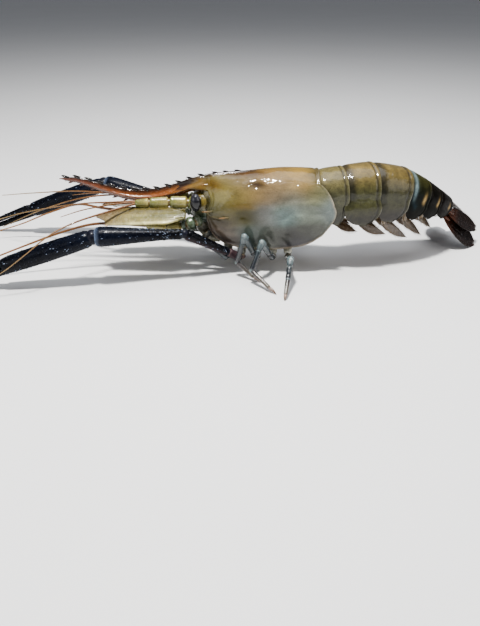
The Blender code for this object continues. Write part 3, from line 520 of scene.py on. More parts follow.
def build_carapace():
    form = Form("carapace_shell")
    rows = []
    long_steps, round_steps = 110, 128
    for i in range(long_steps + 1):
        u = i / long_steps
        u -= 0.035 * sin(2 * pi * u)
        row = []
        for j in range(round_steps + 1):
            v = -1 + 2 * j / round_steps
            s = abs(v)
            rear, front = rear_edge(s), front_edge(s)
            x = rear + (front - rear) * u
            edge = min(abs(x - rear), (1 - s) * FLANK, abs(x - front) * 1.4 + 20 * step(0.27, 0.20, s))
            row.append(shell_point(x, v, relief(x, v, edge) - SHELL_SINK))
        rows.append(row)

    def paint(p):
        colour = tone_at(p.x, p.z)
        return mix(colour, tuple(c * 1.4 for c in colour), 0.6 * arcs(p.x, p.z))

    form.grid(rows, paint)
    count = round_steps + 1
    for i in range(long_steps + 1):
        for j in range(count):
            s = abs(-1 + 2 * j / round_steps)
            k = i * count + j
            p = form.points[k]
            edge = min(abs(p.x - rear_edge(s)), (1 - s) * FLANK)
            if s > 0.02:
                rim = mix(0.12, 0.6, step(0.3, 0.48, s))
                form.colours[k] = mix(form.colours[k], RIM, rim * bell(edge, 0, 0.9))
    thicken(form.build(SHELL_WET, ["carapace"], "olive_shell"), SHELL_THICKNESS)
    form = Form("carapace_spines")
    for side in SIDES.values():
        for x, z, long in ((-36.5, 39.2, 5.5), (-27.0, 36.0, 4.2)):
            s_here = 0.5 if z > 38 else 0.58
            root = shell_point(x + 2.5, side * s_here, -0.6)
            root.z = z
            tip = root + Vector((-long - 1.6, side * 1.5, 0.4))
            form.tube(curved([root, root.lerp(tip, 0.5) + Vector((0, side * 0.15, 0)), tip], 4),
                      [0.85, 0.8, 0.7, 0.6, 0.5, 0.4, 0.28, 0.18, 0.05],
                      lambda p: mix(tone_at(p.x, p.z), "a5764c", on_line(p, root, tip) ** 2), 10)
    form.build(SHELL_WET, [], "olive_shell")


# Rostrum, the toothed blade over the eyes
ROSTRUM_ROOT = -38.3
ROSTRUM_LENGTH = 89.0
ROSTRUM_DEPTH = 8.2
UPPER_TEETH = 13
LOWER_TEETH = 11


def rostrum_edges(share):
    """Height of the upper and lower edge at a share of the rostrum's length from its root."""
    share = max(0.0, share)
    upper = 58.2 - 8.6 * sin(pi * min(1.0, share * 1.12)) ** 1.4 - 1.6 * share
    return upper, upper - ROSTRUM_DEPTH * (1.0 - 0.18 * share - 0.68 * share**3)


def rib_width(share):
    """Half width of the rib along the blade's side."""
    return 3.4 * (1 - max(0.0, share)) ** 1.3 + 0.9


def blade_profile(share, shut=1.0):
    """Rows of height share and half width, from the blade's upper edge to its lower edge."""
    rib = rib_width(share) * (0.35 + 0.65 * shut)
    rows = ((1.0, 0.12), (0.93, 0.5), (0.78, 0.62), (0.62, 0.85), (0.52, mix(1.0, rib * 0.62, 0.8)),
            (0.45, rib * 0.95), (0.40, rib), (0.34, rib * 0.86), (0.25, mix(0.9, rib * 0.5, 0.7)),
            (0.12, 0.6), (0.04, 0.45), (0.0, 0.12))
    return [(height, max(0.1, min(rib, half))) for height, half in rows]


def rostrum_paint(p):
    share = (ROSTRUM_ROOT - p.x) / ROSTRUM_LENGTH
    upper, lower = rostrum_edges(share)
    height = (p.z - lower) / max(0.5, upper - lower)
    base = mix("7c5c28", "774522", share * 3.5)
    base = mix(base, "664034", step(0.45, 0.95, share))
    base = mix(base, "4a2412", 0.55 * step(0.35, 0.0, height) * step(0.02, 0.12, share))
    return mix(base, "1c0d08", 0.92 * step(0.66, 0.90, height))


def shell_half(x, z):
    """Half width of the carapace's back at X and a height."""
    half_width, top, widest, _, roof = along_table(CARAPACE, x)
    lift = min(1.0, max(0.0, (z - widest) / (top - widest))) ** (1 / (1.03 * roof))
    return half_width * sqrt(max(0.0, 1 - lift**2)) ** roof


SHELF_HEIGHT = 50.1  # of the shelf over each eye


def build_rostrum_root():
    """The shell's back running on into the blade, with a shelf over each eye."""
    form = Form("rostrum_root")
    rows = []
    for i in range(61):
        x = -33.5 - 29.0 * i / 60
        share = max(0.0, (ROSTRUM_ROOT - x) / ROSTRUM_LENGTH)
        upper, lower = rostrum_edges(share)
        top = roof_height(x, 0) if x > ROSTRUM_ROOT else upper
        foot = mix(SHELF_HEIGHT, mix(lower, upper, 0.40), step(-43, -53, x))
        lift = mix(-0.9, -0.33, step(-33.5, -37.0, x)) + 0.2 * step(-39, -42, x) - 0.7 * step(-52, -61, x)
        side = []
        for k in range(13):
            q = k / 12
            z = mix(top, foot, q)
            height = (z - lower) / (upper - lower)
            pairs = blade_profile(share)[:7]
            half = pairs[-1][1]
            for (h0, w0), (h1, w1) in zip(pairs, pairs[1:]):
                if h1 <= height <= h0:
                    half = mix(w0, w1, (h0 - height) / (h0 - h1))
            half = mix(shell_half(x, z), half, step(-37.5, -50, x))
            side.append((half + lift * min(1.0, 3 * q), z + lift * (1 - min(1.0, 3 * q))))
        left = [Vector((x, -y, z)) for y, z in reversed(side)]
        rows.append(left + [Vector((x, y, z)) for y, z in side[1:]])

    def paint(p):
        colour = mix(tone_at(p.x, p.z), "6b5022", 0.8 * step(-36, -42, p.x))
        colour = mix(colour, rostrum_paint(p), step(-44, -54, p.x))
        colour = mix(colour, "2c190b", 0.85 * bell(p.z, SHELF_HEIGHT, 1.0) * step(-38, -40, p.x))
        return mix(colour, "1c0d08", 0.9 * step(2.4, 0.8, abs(p.y)))

    form.plate(rows, 0.5, paint)
    form.build(SHELL_WET, [], "olive_shell")


# Section of the low crest behind the rostrum: Y and share of its height
CREST = ((-2.2, -0.3), (-1.3, 0.05), (-0.7, 0.55), (-0.3, 1.0),
         (0.3, 1.0), (0.7, 0.55), (1.3, 0.05), (2.2, -0.3))
BACK_TEETH = (-33.0, -26.5, -19.5)
# Radii along a tooth, from its root to its tip
UPPER_TOOTH = (1.6, 1.4, 1.2, 1.0, 0.84, 0.68, 0.52, 0.36, 0.2, 0.04)
LOWER_TOOTH = (1.05, 0.95, 0.85, 0.74, 0.62, 0.5, 0.38, 0.26, 0.15, 0.04)


def build_rostrum():
    form = Form("rostrum_blade")
    rows = []
    steps = 90
    for i in range(steps + 1):
        share = -0.03 + 1.025 * i / steps
        upper, lower = rostrum_edges(share)
        shut = step(1.0, 0.93, share)
        middle, open_share = (upper + lower) / 2, 0.25 + 0.75 * shut
        upper, lower = mix(middle, upper, open_share), mix(middle, lower, open_share)
        tall = upper - lower
        x = ROSTRUM_ROOT - ROSTRUM_LENGTH * share
        left = [(x, -half, lower + tall * height) for height, half in blade_profile(share, shut)]
        rows.append([Vector(p) for p in left] + [Vector((p[0], -p[1], p[2])) for p in reversed(left)])
    form.grid(rows, rostrum_paint, around=True, ends=True)
    for i in range(UPPER_TEETH + len(BACK_TEETH)):
        if i < UPPER_TEETH:
            share = (2 * i + 1) / (UPPER_TEETH * 2)
            x, z, tall = ROSTRUM_ROOT - ROSTRUM_LENGTH * share, rostrum_edges(share)[0], 1.25
        else:
            x = BACK_TEETH[i - UPPER_TEETH]
            z, tall = shell_point(x, 0).z + 0.1, 1.2 - 0.1 * (i - UPPER_TEETH)
        path = curved([(x + 2.4, 0, z - 0.8), (x + 0.6, 0, z + tall * 0.35), (x - 0.8, 0, z + tall * 0.85),
                       (x - 1.7, 0, z + tall)], 3)
        form.tube(path, UPPER_TOOTH, "140a06", 10, 0.42, (0, 1, 0))
    for i in range(LOWER_TEETH):
        share = 0.16 + 0.80 * (2 * i + 1) / (LOWER_TEETH * 2)
        x, z = ROSTRUM_ROOT - ROSTRUM_LENGTH * share, rostrum_edges(share)[1]
        path = curved([(x + 2.0, 0, z + 0.7), (x + 0.5, 0, z - 0.35), (x - 0.7, 0, z - 0.9),
                       (x - 1.5, 0, z - 1.15)], 3)
        form.tube(path, LOWER_TOOTH, "532a16", 10, 0.4, (0, 1, 0))
    crest = []
    for i in range(31):
        x = -8.0 - 31.0 * i / 30
        rise = 0.75 * step(-9, -19, x)
        crest.append([Vector((x, y, roof_height(x, y) - 0.12 + rise * share)) for y, share in CREST])
    form.grid(crest, lambda p: mix("26150c", tone_at(p.x, 60), step(0.3, 1.9, abs(p.y)) + step(-14, -9, p.x)))
    form.build(ROSTRUM_WET, ["rostrum"], "rust_rostrum")
    form = Form("rostrum_bristles")
    for n in range(520):
        under = n % 2
        share = RNG.uniform(0.03, 0.97)
        upper, lower = rostrum_edges(share)
        x = ROSTRUM_ROOT - ROSTRUM_LENGTH * share
        y = RNG.uniform(-0.35, 0.35)
        foot = Vector((x, y, lower + 0.15 if under else upper - 0.15))
        long = RNG.uniform(0.7, 1.25)
        form.spine(foot, foot + Vector((-long * 0.9, y * 0.6, long * (-0.75 if under else 0.75))), 0.07,
                   "5b3a22" if under else "2b1a12", 3)
    form.build(HAIR, [], "rust_rostrum")


def on_line(p, a, b):
    """How far along from a to b a point is, as a share."""
    return min(1.0, max(0.0, (p - a).dot(b - a) / (b - a).length_squared))


def segment(form, a, b, radius_a, radius_b, colour, sides=16, swell=0.06, flat=1.0, flat_way=(0, 0, 1),
            rings=12, tips=(0.0, 0.0), blunt=0.8, table=None):
    """One limb segment with rounded ends and a slight swelling before the far joint. blunt is how far the
    ends round over, in radii. A table of (share, radius) shapes it instead of the two radii."""
    a, b = Vector(a), Vector(b)
    length = (b - a).length
    ends = min(0.45, blunt * max(radius_a, radius_b) / length)
    shares = [0, 0.1 * ends, 0.3 * ends, 0.6 * ends, ends]
    shares += [ends + (1 - 2 * ends) * k / rings for k in range(1, rings)]
    shares += [1 - ends, 1 - 0.6 * ends, 1 - 0.3 * ends, 1 - 0.1 * ends, 1]
    path, radii = [], []
    for t in shares:
        path.append(a.lerp(b, t))
        radius = along_table(table, t)[0] if table else radius_a + (radius_b - radius_a) * t
        radius += swell * radius_b * bell(t, 0.9, 0.09)
        end = min(1.0, min(t, 1 - t) / ends)
        near = tips[0] if t < 0.5 else tips[1]
        round_off = sqrt(max(0.0, 1 - (1 - end) ** 2.6)) * 0.92 + 0.08 * end + 0.02
        radii.append(radius * max(near, round_off))
    form.tube(path, radii, colour, sides, flat, flat_way)


def blend_paint(a, b, first, last, rim=None, rim_share=0.08):
    """Colour from first to last along a segment, with a rim colour at both ends."""
    a, b = Vector(a), Vector(b)

    def paint(p):
        share = on_line(p, a, b)
        colour = mix(first, last, share)
        if rim:
            colour = mix(colour, rim, step(1 - rim_share, 1, share) + step(rim_share * 0.6, 0, share))
        return colour
    return paint


def limb(form, a, b, radius_a, radius_b, paint, sides, **shape):
    """A segment painted with (first colour, last colour, rim colour and, if wanted, the rim's share)."""
    segment(form, a, b, radius_a, radius_b, blend_paint(a, b, *paint), sides, **shape)


# Front of the head between the feelers: X, half width, top and bottom
HEAD = ((-33.0, 8.6, 49.0, 27.0), (-38.3, 9.0, 48.8, 28.6), (-42.0, 8.2, 48.6, 29.6),
        (-45.5, 6.8, 47.4, 32.0), (-47.4, 4.6, 45.6, 35.0))
HEAD_OLIVE, HEAD_TEAL = "685c30", "3f4d40"
LEG_ROOTS = {"small_claw": -25.0, "cheliped": -16.5, "leg_3": -7.0, "leg_4": 3.0, "leg_5": 12.5}
HIP_OUT, HIP_IN, HIP_HEIGHT = 10.4, 4.0, 10.9
BELLY = "857c68"


def hip_line(leg, side):
    """Where a leg's hip starts under the belly and where it ends."""
    x = LEG_ROOTS[leg]
    return Vector((x, side * HIP_IN, along_table(CARAPACE, x)[3])), Vector((x, side * HIP_OUT, HIP_HEIGHT))


def build_head():
    form = Form("head_and_belly")
    rows = []
    for i in range(25):
        x = -33.0 - 14.6 * i / 24
        half, top, bottom = along_table(HEAD, x)
        middle, tall = (top + bottom) / 2, (top - bottom) / 2
        rows.append([Vector((x, half * power(cos(a), 0.8), middle + tall * power(sin(a), 0.8)))
                     for a in turns(40)])
    form.grid(rows, lambda p: mix(HEAD_TEAL, HEAD_OLIVE, step(34, 44, p.z)), around=True, ends=True)
    path = curved([(-30, 0, 19.2), (-36, 0, 20.5), (-40.5, 0, 26), (-43.0, 0, 33)], 6)
    form.tube(path, [4.6 - 0.2 * sin(i * 0.9) for i in range(len(path))], mix(HEAD_TEAL, BELLY, 0.6), 20)
    rows = []
    for i in range(90):
        x = 29.5 - 63.5 * i / 89
        half_width, _, _, bottom, _ = along_table(CARAPACE, x)
        reach = 0.66 * half_width - 0.3
        ridge = 0.5 * cos(2 * pi * (x - 3.0) / 9.7)
        rows.append([Vector((x, reach * t, bottom - 1.6 - ridge * (1 - t * t) + 1.6 * abs(t) ** 3))
                     for t in [-1 + 2 * k / 20 for k in range(21)]])
    form.grid(rows, lambda p: mix(BELLY, "7d7466", 0.5 + 0.5 * cos(2 * pi * (p.x - 3.0) / 9.7)))
    for leg in LEG_ROOTS:
        for side in SIDES.values():
            a, b = hip_line(leg, side)
            paint = blend_paint(a, b, BELLY, "b4b3a6")
            segment(form, a, b + (b - a).normalized() * 0.3, 3.0, 2.5, paint, 16)
    rows = []
    for x, scale in ((-33.0, 0.93), (-36.0, 0.93), (-37.8, 0.91), (-39.2, 0.82), (-40.4, 0.66),
                     (-41.2, 0.40)):
        rim = [shell_point(max(x, CARAPACE_FRONT), v / 20) for v in range(-11, 12)]
        rows.append([Vector((x, p.y * scale, BROW_HEIGHT + (p.z - BROW_HEIGHT) * scale)) for p in rim])
    form.grid(rows, lambda p: mix("3b371e", HEAD_OLIVE, step(44, 56, p.z)), around=True, ends=True)
    form.build(PALE_WET, ["thorax"], "pale_underside")


def build_eyes():
    for label, side in SIDES.items():
        centre = mirrored([EYE_CENTRE], side)[0]
        form = Form("eyeball_" + label)
        # the eye is black, painted lighter grey over its top as a painted sheen of reflected light
        form.ball(centre, [r * 1.12 for r in EYE_RADII],
                  lambda p: mix("0c0c10", "2a2a30", step(46, 49, p.z)), 24, 36)
        form.build(EYE_WET, ["eye_" + label], "black_eye")
        form = Form("eye_stalk_" + label)
        root = mirrored([(-42.5, -7.6, 46.2)], side)[0]
        inner = centre.lerp(root, 0.22)
        limb(form, root, inner, 2.0, 2.9, (HEAD_OLIVE, "5c4a2a"), 20, tips=(0, 0.9))
        for a in turns(14):
            out = (centre - root).normalized()
            ring = out.orthogonal().normalized()
            other = out.cross(ring)
            spot = inner + ring * (2.85 * cos(a)) + other * (2.85 * sin(a))
            form.ball(spot, 0.45, "8a7440", 6, 8)
        form.build(PALE_WET, ["eyestalk_" + label], "pale_underside")


# Abdomen: each ring's length, then half width, rise of the back over the axis, drop of the sides, and the
# axis's pitch and yaw in degrees, at the seven edges of the six rings
RING_LENGTHS = (13.0, 17.3, 20.2, 14.5, 11.5, 15.0)
RING_HALF_WIDTHS = (14.2, 15.2, 16.8, 16.2, 13.8, 11.6, 8.4)
RING_RISES = (14.0, 14.9, 16.0, 15.0, 12.2, 10.0, 7.6)
RING_DROPS = (14.0, 14.8, 14.6, 11.8, 9.2, 7.4, 6.0)
PITCHES = (1, 5, -3, -15, -22, -24, -24)
YAWS = (3, 9, 13, 15, 20, 27, 34)
AXIS_START = (31.75, 0.0, 47.4)
# Each ring's side flaps: half length as a share of the ring's, how far they hang below its side, their
# shift to the rear as a share, and how far they stand out
FLAPS = ((0.40, 2.6, 0.0), (0.66, 3.0, 0.0), (0.50, 2.7, 0.08), (0.50, 2.1, 0.09), (0.50, 1.7, 0.09),
         (0.40, 0.8, 0.08))
FLAP_OUT = (0.1, 1.5, 0.8, 0.8, 0.7, 0.2)
# Colours of each ring's back, side and flap, darker downwards: partly own colour, partly painted shade
RING_TOP = ("857848", "8c7844", "82703e", "4a4926", "1c170c", "17110a")
RING_SIDE = ("5e5d42", "565635", "4d4c34", "191f1a", "0f0d08", "120c08")
RING_LOW = ("48473a", "3a3628", "2e261c", "16130e", "0d0b08", "160f0a")


def directions(pitch, yaw):
    """(forward, side, up) of a body ring, forward pointing to the tail and side away from the camera."""
    p, y = radians(pitch), radians(yaw)
    forward = Vector((cos(p) * cos(y), cos(p) * sin(y), sin(p)))
    side = Vector((-sin(y), cos(y), 0))
    return forward, side, forward.cross(side)


def axis_points():
    """The seven points where the axis of the abdomen passes the edges of its rings."""
    points = [Vector(AXIS_START)]
    for i, length in enumerate(RING_LENGTHS):
        forward, _, _ = directions((PITCHES[i] + PITCHES[i + 1]) / 2, (YAWS[i] + YAWS[i + 1]) / 2)
        points.append(points[-1] + forward * length)
    return points


AXIS = axis_points()


def ring_frame(i, share):
    """Centre, directions, half width, rise and drop of ring i at a share of its length, also a little past
    its ends."""
    held = min(1.0, max(0.0, share))
    forward, side, up = directions(mix(PITCHES[i], PITCHES[i + 1], held), mix(YAWS[i], YAWS[i + 1], held))
    centre = AXIS[i].lerp(AXIS[i + 1], held) + forward * (RING_LENGTHS[i] * (share - held))
    sizes = [mix(t[i], t[i + 1], held) for t in (RING_HALF_WIDTHS, RING_RISES, RING_DROPS)]
    return centre, forward, side, up, *sizes


def ring_point(i, u, v):
    """A point of ring i's shell: u from its front edge to its rear edge, v from the left flap's tip over
    the back to the right one's."""
    half_share, hang, shift = FLAPS[i]
    s, side_way = abs(v), (-1 if v < 0 else 1)
    t = max(0.0, s - 0.5) * 2
    round_off = sqrt(max(0.0, 1 - max(0.0, (t - 0.35) / 0.65) ** 2.4))
    to_side = step(0.05, 0.40, t)
    middle = 0.48 + shift * to_side
    reach_share = mix(0.57, half_share * round_off, to_side)
    share = middle + reach_share * (2 * u - 1)
    if i == 0:
        share -= 0.30 * (1 - u) * (1 - to_side)
    centre, _, across, up, width, rise, drop = ring_frame(i, share)
    tuck = 1.3 * step(0.30, 0.0, u) * (1 - 0.8 * to_side)
    lift = -0.3 + 0.15 * step(0.55, 1.0, u) - tuck + 0.4 * sin(pi * u)
    lift += 0.12 * bell(u, 0.955, 0.025) - 0.30 * bell(u, 0.885, 0.025)
    if s <= 0.5:
        a = (1 - 2 * s) * pi / 2
        y, z = width * power(cos(a), 0.92), rise * power(sin(a), 0.95)
        return centre + across * (side_way * (y + lift * cos(a))) + up * (z + lift * sin(a))
    low = t * (drop + hang)
    reach = width * (1 - 0.10 * t**2) + FLAP_OUT[i] * step(0.0, 0.5, t) + lift
    return centre + across * (side_way * reach) - up * low


def ring_paint(i, u, v, p):
    s = abs(v)
    t = max(0.0, s - 0.5) * 2
    # darker down the side and flap: partly the ring's own colour, partly painted shade
    colour = mix(RING_TOP[i], RING_SIDE[i], step(0.12, 0.48, s))
    colour = mix(colour, RING_LOW[i], step(0.15, 0.8, t))
    wave = sin(p.x * 0.9 + p.z * 0.6) * sin(p.z * 0.8 - p.y * 0.4)
    patchy = 0.35 if i > 2 else 0.16
    colour = mix(colour, tuple(c * 0.62 for c in colour), patchy * (1 + wave))
    if i == 3:
        # ring 4: a pale blue band near its front edge, a painted highlight
        colour = mix(colour, "90a4a8", 0.75 * bell(u, 0.27, 0.07) * step(0.62, 0.38, s))
        colour = mix(colour, "2c4450", 0.5 * bell(t, 0.25, 0.2) * bell(u, 0.32, 0.12))
    if i >= 3:
        spot = bell(s, 0.49, 0.085) * bell(u, 0.76, 0.07)
        colour = mix(colour, "d2b27a", 0.9 * spot)
    colour = mix(colour, "1d1a0c", 0.75 * bell(u, 0.885, 0.035))
    # rings 2 and 3: painted shade along the front, under the rear edge of the ring before
    if i in (1, 2):
        colour = mix(colour, "12110a", 0.75 * step(0.36, 0.20, u) * step(0.75, 0.45, s))
    colour = deeper(colour, 1.0, 0.6)
    rim = max(bell(u, 0.985, 0.018), bell(t, 1.0, 0.05) * 0.8)
    return mix(colour, "6d684a" if i < 3 else "3a3222", 0.35 * rim)


def build_abdomen():
    for i in range(6):
        form = Form(f"abdomen_shell_{i + 1}")
        u_steps, v_steps = 44, 96
        rows, colours = [], []
        for a in range(u_steps + 1):
            u = a / u_steps
            row = []
            for b in range(v_steps + 1):
                v = -1 + 2 * b / v_steps
                spot = ring_point(i, u, v)
                row.append(spot)
                colours.append(ring_paint(i, u, v, spot))
            rows.append(row)
        form.grid(rows, (0, 0, 0))
        form.colours = colours
        look = RING_WET if i < 3 else DARK_RING_WET
        thicken(form.build(look, [f"abdomen_ring_{i + 1}"], "olive_shell"), RING_THICKNESS)
    form = Form("abdomen_belly")
    for i in range(6):
        rows = []
        for a in range(13):
            share = -0.04 + 1.08 * a / 12
            centre, _, across, up, width, _, drop = ring_frame(i, share)
            ridge = 1.2 * bell(share, 0.5, 0.16)
            rows.append([centre + across * (width * 0.9 * t)
                         - up * (drop - 3.2 + ridge * (1 - t * t) - 2.0 * abs(t) ** 3)
                         for t in [-1 + 2 * k / 18 for k in range(19)]])
        form.grid(rows, lambda p: mix("9b8a74", "6e5f50", 0.5 + 0.5 * sin(p.x * 0.7)))
    form.build(PALE_WET, [], "olive_shell")


# Lengths of each swimmeret's stalk and leaves
SWIMMERS = ((8.0, 15.0), (9.5, 19.0), (10.0, 20.0), (8.5, 17.0), (6.0, 12.0))


def leaf(root, along, across, length, widths, droop=0.0, crown=0.0, columns=5, rows=8, ridges=0.0):
    """A grid for a leaf-shaped plate, as wide at even steps as widths, with fine ridges if wanted."""
    along, across = Vector(along).normalized(), Vector(across).normalized()
    normal = along.cross(across).normalized()
    grid = []
    for i in range(rows):
        share = i / (rows - 1)
        place = share * (len(widths) - 1)
        k = min(int(place), len(widths) - 2)
        t = place - k
        half = mix(widths[k], widths[k + 1], t * t * (3 - 2 * t) * 0.5 + t * 0.5)
        middle = Vector(root) + along * (length * share) + normal * (droop * share**2)
        row = []
        for j in range(columns):
            sway = 2 * j / (columns - 1) - 1
            ribbing = bell(sway, 0, 0.10) + 0.5 * cos(sway * 14) * (1 - share)
            lift = crown * (1 - sway**2) + ridges * ribbing
            row.append(middle + across * (half * sway) + normal * lift)
        grid.append(row)
    return grid


def fringe(form, grid, long, colour, spacing=0.45, skip_first=2, sides=("left", "right", "end"), lean=0.6):
    """Fine bristles round a leaf's edges, leaning to its tip."""
    rows = grid[skip_first:]
    edges = {
        "left": ([row[0] for row in rows], [row[0] - row[1] for row in rows]),
        "right": ([row[-1] for row in rows], [row[-1] - row[-2] for row in rows]),
        "end": (grid[-1], [a - b for a, b in zip(grid[-1], grid[-2])]),
    }
    ahead = (grid[-1][len(grid[-1]) // 2] - grid[0][len(grid[0]) // 2]).normalized()
    for edge in sides:
        spots, outs = edges[edge]
        for a, b, out_a, out_b in zip(spots, spots[1:], outs, outs[1:]):
            count = max(1, ceil((b - a).length / spacing))
            for k in range(count):
                t = (k + RNG.uniform(-0.2, 0.2)) / count
                foot = a.lerp(b, min(1, max(0, t)))
                out = (out_a.normalized().lerp(out_b.normalized(), t) + ahead * lean).normalized()
                size = long * RNG.uniform(0.75, 1.05)
                form.spine(foot - out * 0.3, foot + out * size, 0.085, colour, 3)


def build_swimmers():
    brown, pale = "4a3a2a", "83745a"
    for i, (stalk, blade) in enumerate(SWIMMERS):
        centre, forward, across, up, *_ = ring_frame(i, 0.5)
        drop = (RING_DROPS[i] + RING_DROPS[i + 1]) / 2
        width = (RING_HALF_WIDTHS[i] + RING_HALF_WIDTHS[i + 1]) / 2
        down = (forward * 0.30 - up).normalized()
        for label, side in SIDES.items():
            form = Form(f"swimmeret_{i + 1}_{label}_shape")
            hairs = Form(f"swimmeret_{i + 1}_{label}_fringe")
            root = centre + across * (side * width * 0.42) - up * (drop - 2.5)
            end = root + down * stalk
            segment(form, root - down * 1.4, end, 1.9, 1.6,
                    blend_paint(root, end, pale, "7d6a52", "c0b49c"), 16, flat=0.7, flat_way=forward)
            trail = (forward * 0.86 - up * 0.36).normalized()
            for inset, lean, size in ((0.9, -0.45, 1.0), (-0.9, 0.15, 0.92)):
                lie = up * 0.85 + across * (side * lean)
                start = end - down * 0.8 + across * (side * inset) - trail * 1.0
                widths = [blade * 0.17 * w for w in (0.35, 0.8, 1.0, 1.0, 0.82, 0.5, 0.12)]
                way = trail + across * (side * inset * 0.13)
                grid = leaf(start, way, lie, blade * size * 0.94, widths, columns=9, rows=22, ridges=0.12)
                tip = start + way.normalized() * blade
                form.plate(grid, 0.5, blend_paint(start, tip, "615240", brown))
                fringe(hairs, grid, 1.9, "7c6a52", 0.5, 5)
            form.build(PALE_WET, [f"swimmeret_{i + 1}_{label}"], "brown_swimmeret")
            hairs.build(HAIR, [], "brown_swimmeret")


FAN_FLOOR = 0.5
TELSON_LENGTH = 27.0
# Blades of the tail fan: spread and slope in degrees, length, half width, how far out and down each is
# rooted, and how steeply its outer edge hangs
UROPODS = {
    ("inner", "left"): (8, 7, 34.0, 6.2, 6.0, 1.9, 1.4),
    ("outer", "left"): (14, 16, 37.0, 8.0, 5.1, 6.0, 1.6),
    ("inner", "right"): (10, 4, 34.0, 6.2, 3.6, 1.2, 0.15),
    ("outer", "right"): (26, 6, 37.0, 8.0, 5.8, 4.6, 0.15),
}
TAIL_DARK, TAIL_RUST = "1d1512", "4d2a18"


def build_tail_fan():
    forward, across, up = directions(PITCHES[6], YAWS[6])
    root = AXIS[6] + forward * 0.3
    form = Form("telson_plate")
    rings = []
    for k in range(40):
        share = -0.04 + 1.03 * k / 39
        half_width = mix(6.2, 1.0, max(0.0, share) ** 1.15) * (1 - 0.6 * step(0.97, 1.0, share))
        thick = mix(4.8, 1.0, max(0.0, share))
        middle = root + forward * (TELSON_LENGTH * share) + up * (3.6 - 3.0 * max(0.0, share) ** 1.5)
        ring = []
        for a in turns(28):
            groove = 0.35 * bell(cos(a), 0, 0.16) * step(1.0, 0.6, share) if sin(a) > 0 else 0
            height = thick / 2 * power(sin(a), 1.2) - groove
            ring.append(middle + across * (half_width * cos(a)) + up * height)
        rings.append(ring)
    form.grid(rings, lambda p: mix("332618", TAIL_DARK, (p - root).dot(forward) / 20), around=True,
              ends=True)
    for share, out in ((0.45, 0.62), (0.72, 0.60)):
        for side in SIDES.values():
            height = 4.2 - 3.0 * share**1.5 + (1 - share) * 0.9
            spot = root + forward * (TELSON_LENGTH * share) + up * height
            spot += across * side * mix(6.2, 1.0, share**1.15) * out
            form.spine(spot - up * 0.3, spot + forward * 1.5 + up * 0.25, 0.3, "8a5a34", 6)
    tip = root + forward * TELSON_LENGTH + up * 0.6
    for sway in (-0.7, -0.25, 0.25, 0.7):
        form.spine(tip + across * sway - forward * 0.8, tip + across * sway * 1.5 + forward * 1.4, 0.22,
                   "7a4a2c", 5)
    form.build(TAIL_WET, ["telson"], "dark_tail_fan")
    for (kind, label), (spread, slope, length, half_width, out, down, tilt) in UROPODS.items():
        side = SIDES[label]
        turn, slope = radians(spread) * side, radians(slope)
        along = (forward * cos(turn) + across * sin(turn)) * cos(slope) - up * sin(slope)
        lie = (across * cos(turn) - forward * sin(turn)) - up * tilt * side
        widths = [half_width * w for w in (0.30, 0.60, 0.83, 0.96, 1.0, 0.98, 0.88, 0.64, 0.24)]
        at = root + across * (side * out) - up * down + forward * 1.5
        grid = leaf(at, along, lie, length - 1.0, widths, crown=0.9 * side, columns=21, rows=46,
                    ridges=0.25 * side)
        grid = [[Vector((q.x, q.y, max(q.z, FAN_FLOOR))) for q in row] for row in grid]

        def blade_paint(p):
            share = (p - at).dot(along) / length
            colour = mix(TAIL_RUST, TAIL_DARK, step(0.05, 0.4, share))
            return mix(colour, TAIL_RUST, 0.5 * step(0.9, 1.0, share))

        form = Form(f"uropod_{kind}_{label}_blade")
        form.plate(grid, 0.8, blade_paint)
        segment(form, at - along * 1.5, at + along * 5.0, 2.0, 1.5, TAIL_RUST, 14, flat=0.7)
        form.build(TAIL_WET, [f"uropod_{kind}_{label}"], "dark_tail_fan")
        hairs = Form(f"uropod_{kind}_{label}_fringe")
        inner_edge = "left" if side > 0 else "right"
        fringe(hairs, grid, 1.5, "3a241a", 0.4, 14, (inner_edge, "end"), 0.9)
        hairs.stay_above(0.12)
        hairs.build(HAIR, [], "dark_tail_fan")


# Feelers of the left side; the right ones mirror them unless the pose differs
ANTENNULE = ((-46.2, -4.2, 42.5), (-49.5, -4.5, 43.0), (-60.7, -5.4, 43.6), (-72.7, -5.9, 43.4),
             (-81.5, -6.0, 43.0))
ANTENNULE_WHIPS = {
    "left": (
        ((-80.5, -6.4, 42.6), (-100, -17, 40.0), (-115, -27, 37.8), (-127.4, -35.7, 33.5), (-140, -43, 25),
         (-155, -47, 15), (-172, -52, 8)),
        ((-80.5, -5.6, 43.6), (-95, -5.5, 43.0), (-118, -4, 41.2), (-150, -6, 36.5), (-178, -12, 30)),
        ((-80.5, -6.2, 43.2), (-93, -7, 42.4), (-112, -9, 39.5), (-126, -12, 36)),
    ),
    "right": (
        ((-80.5, 6.4, 42.6), (-98, 8, 43.0), (-120, 7, 40.5), (-145, 4, 33.5), (-168, 2, 24)),
        ((-80.5, 5.6, 43.6), (-96, 6.5, 44.5), (-122, 12, 44.0), (-152, 20, 40), (-176, 30, 35)),
        ((-80.5, 6.2, 43.2), (-94, 9, 43.6), (-112, 14, 42.0), (-126, 19, 39)),
    ),
}
ANTENNA = ((-42.0, -8.8, 33.6), (-45.0, -12.2, 32.4), (-50.0, -13.6, 31.4), (-53.0, -13.2, 30.6),
           (-62.0, -12.4, 30.0), (-75.0, -11.0, 30.4))
ANTENNA_WHIPS = {
    "left": ((-74.0, -11.1, 30.3), (-90, -10.5, 31.0), (-108, -10, 30.5), (-128, -13, 26), (-150, -17, 19),
             (-172, -22, 12), (-195, -24, 6), (-214, -18, 3.0)),
    "right": ((-74.0, 11.1, 30.3), (-92, 12, 31.0), (-108, 16, 31.5), (-126, 26, 30), (-150, 36, 20),
              (-170, 40, 11), (-188, 38, 6.0), (-206, 28, 3.5)),
}
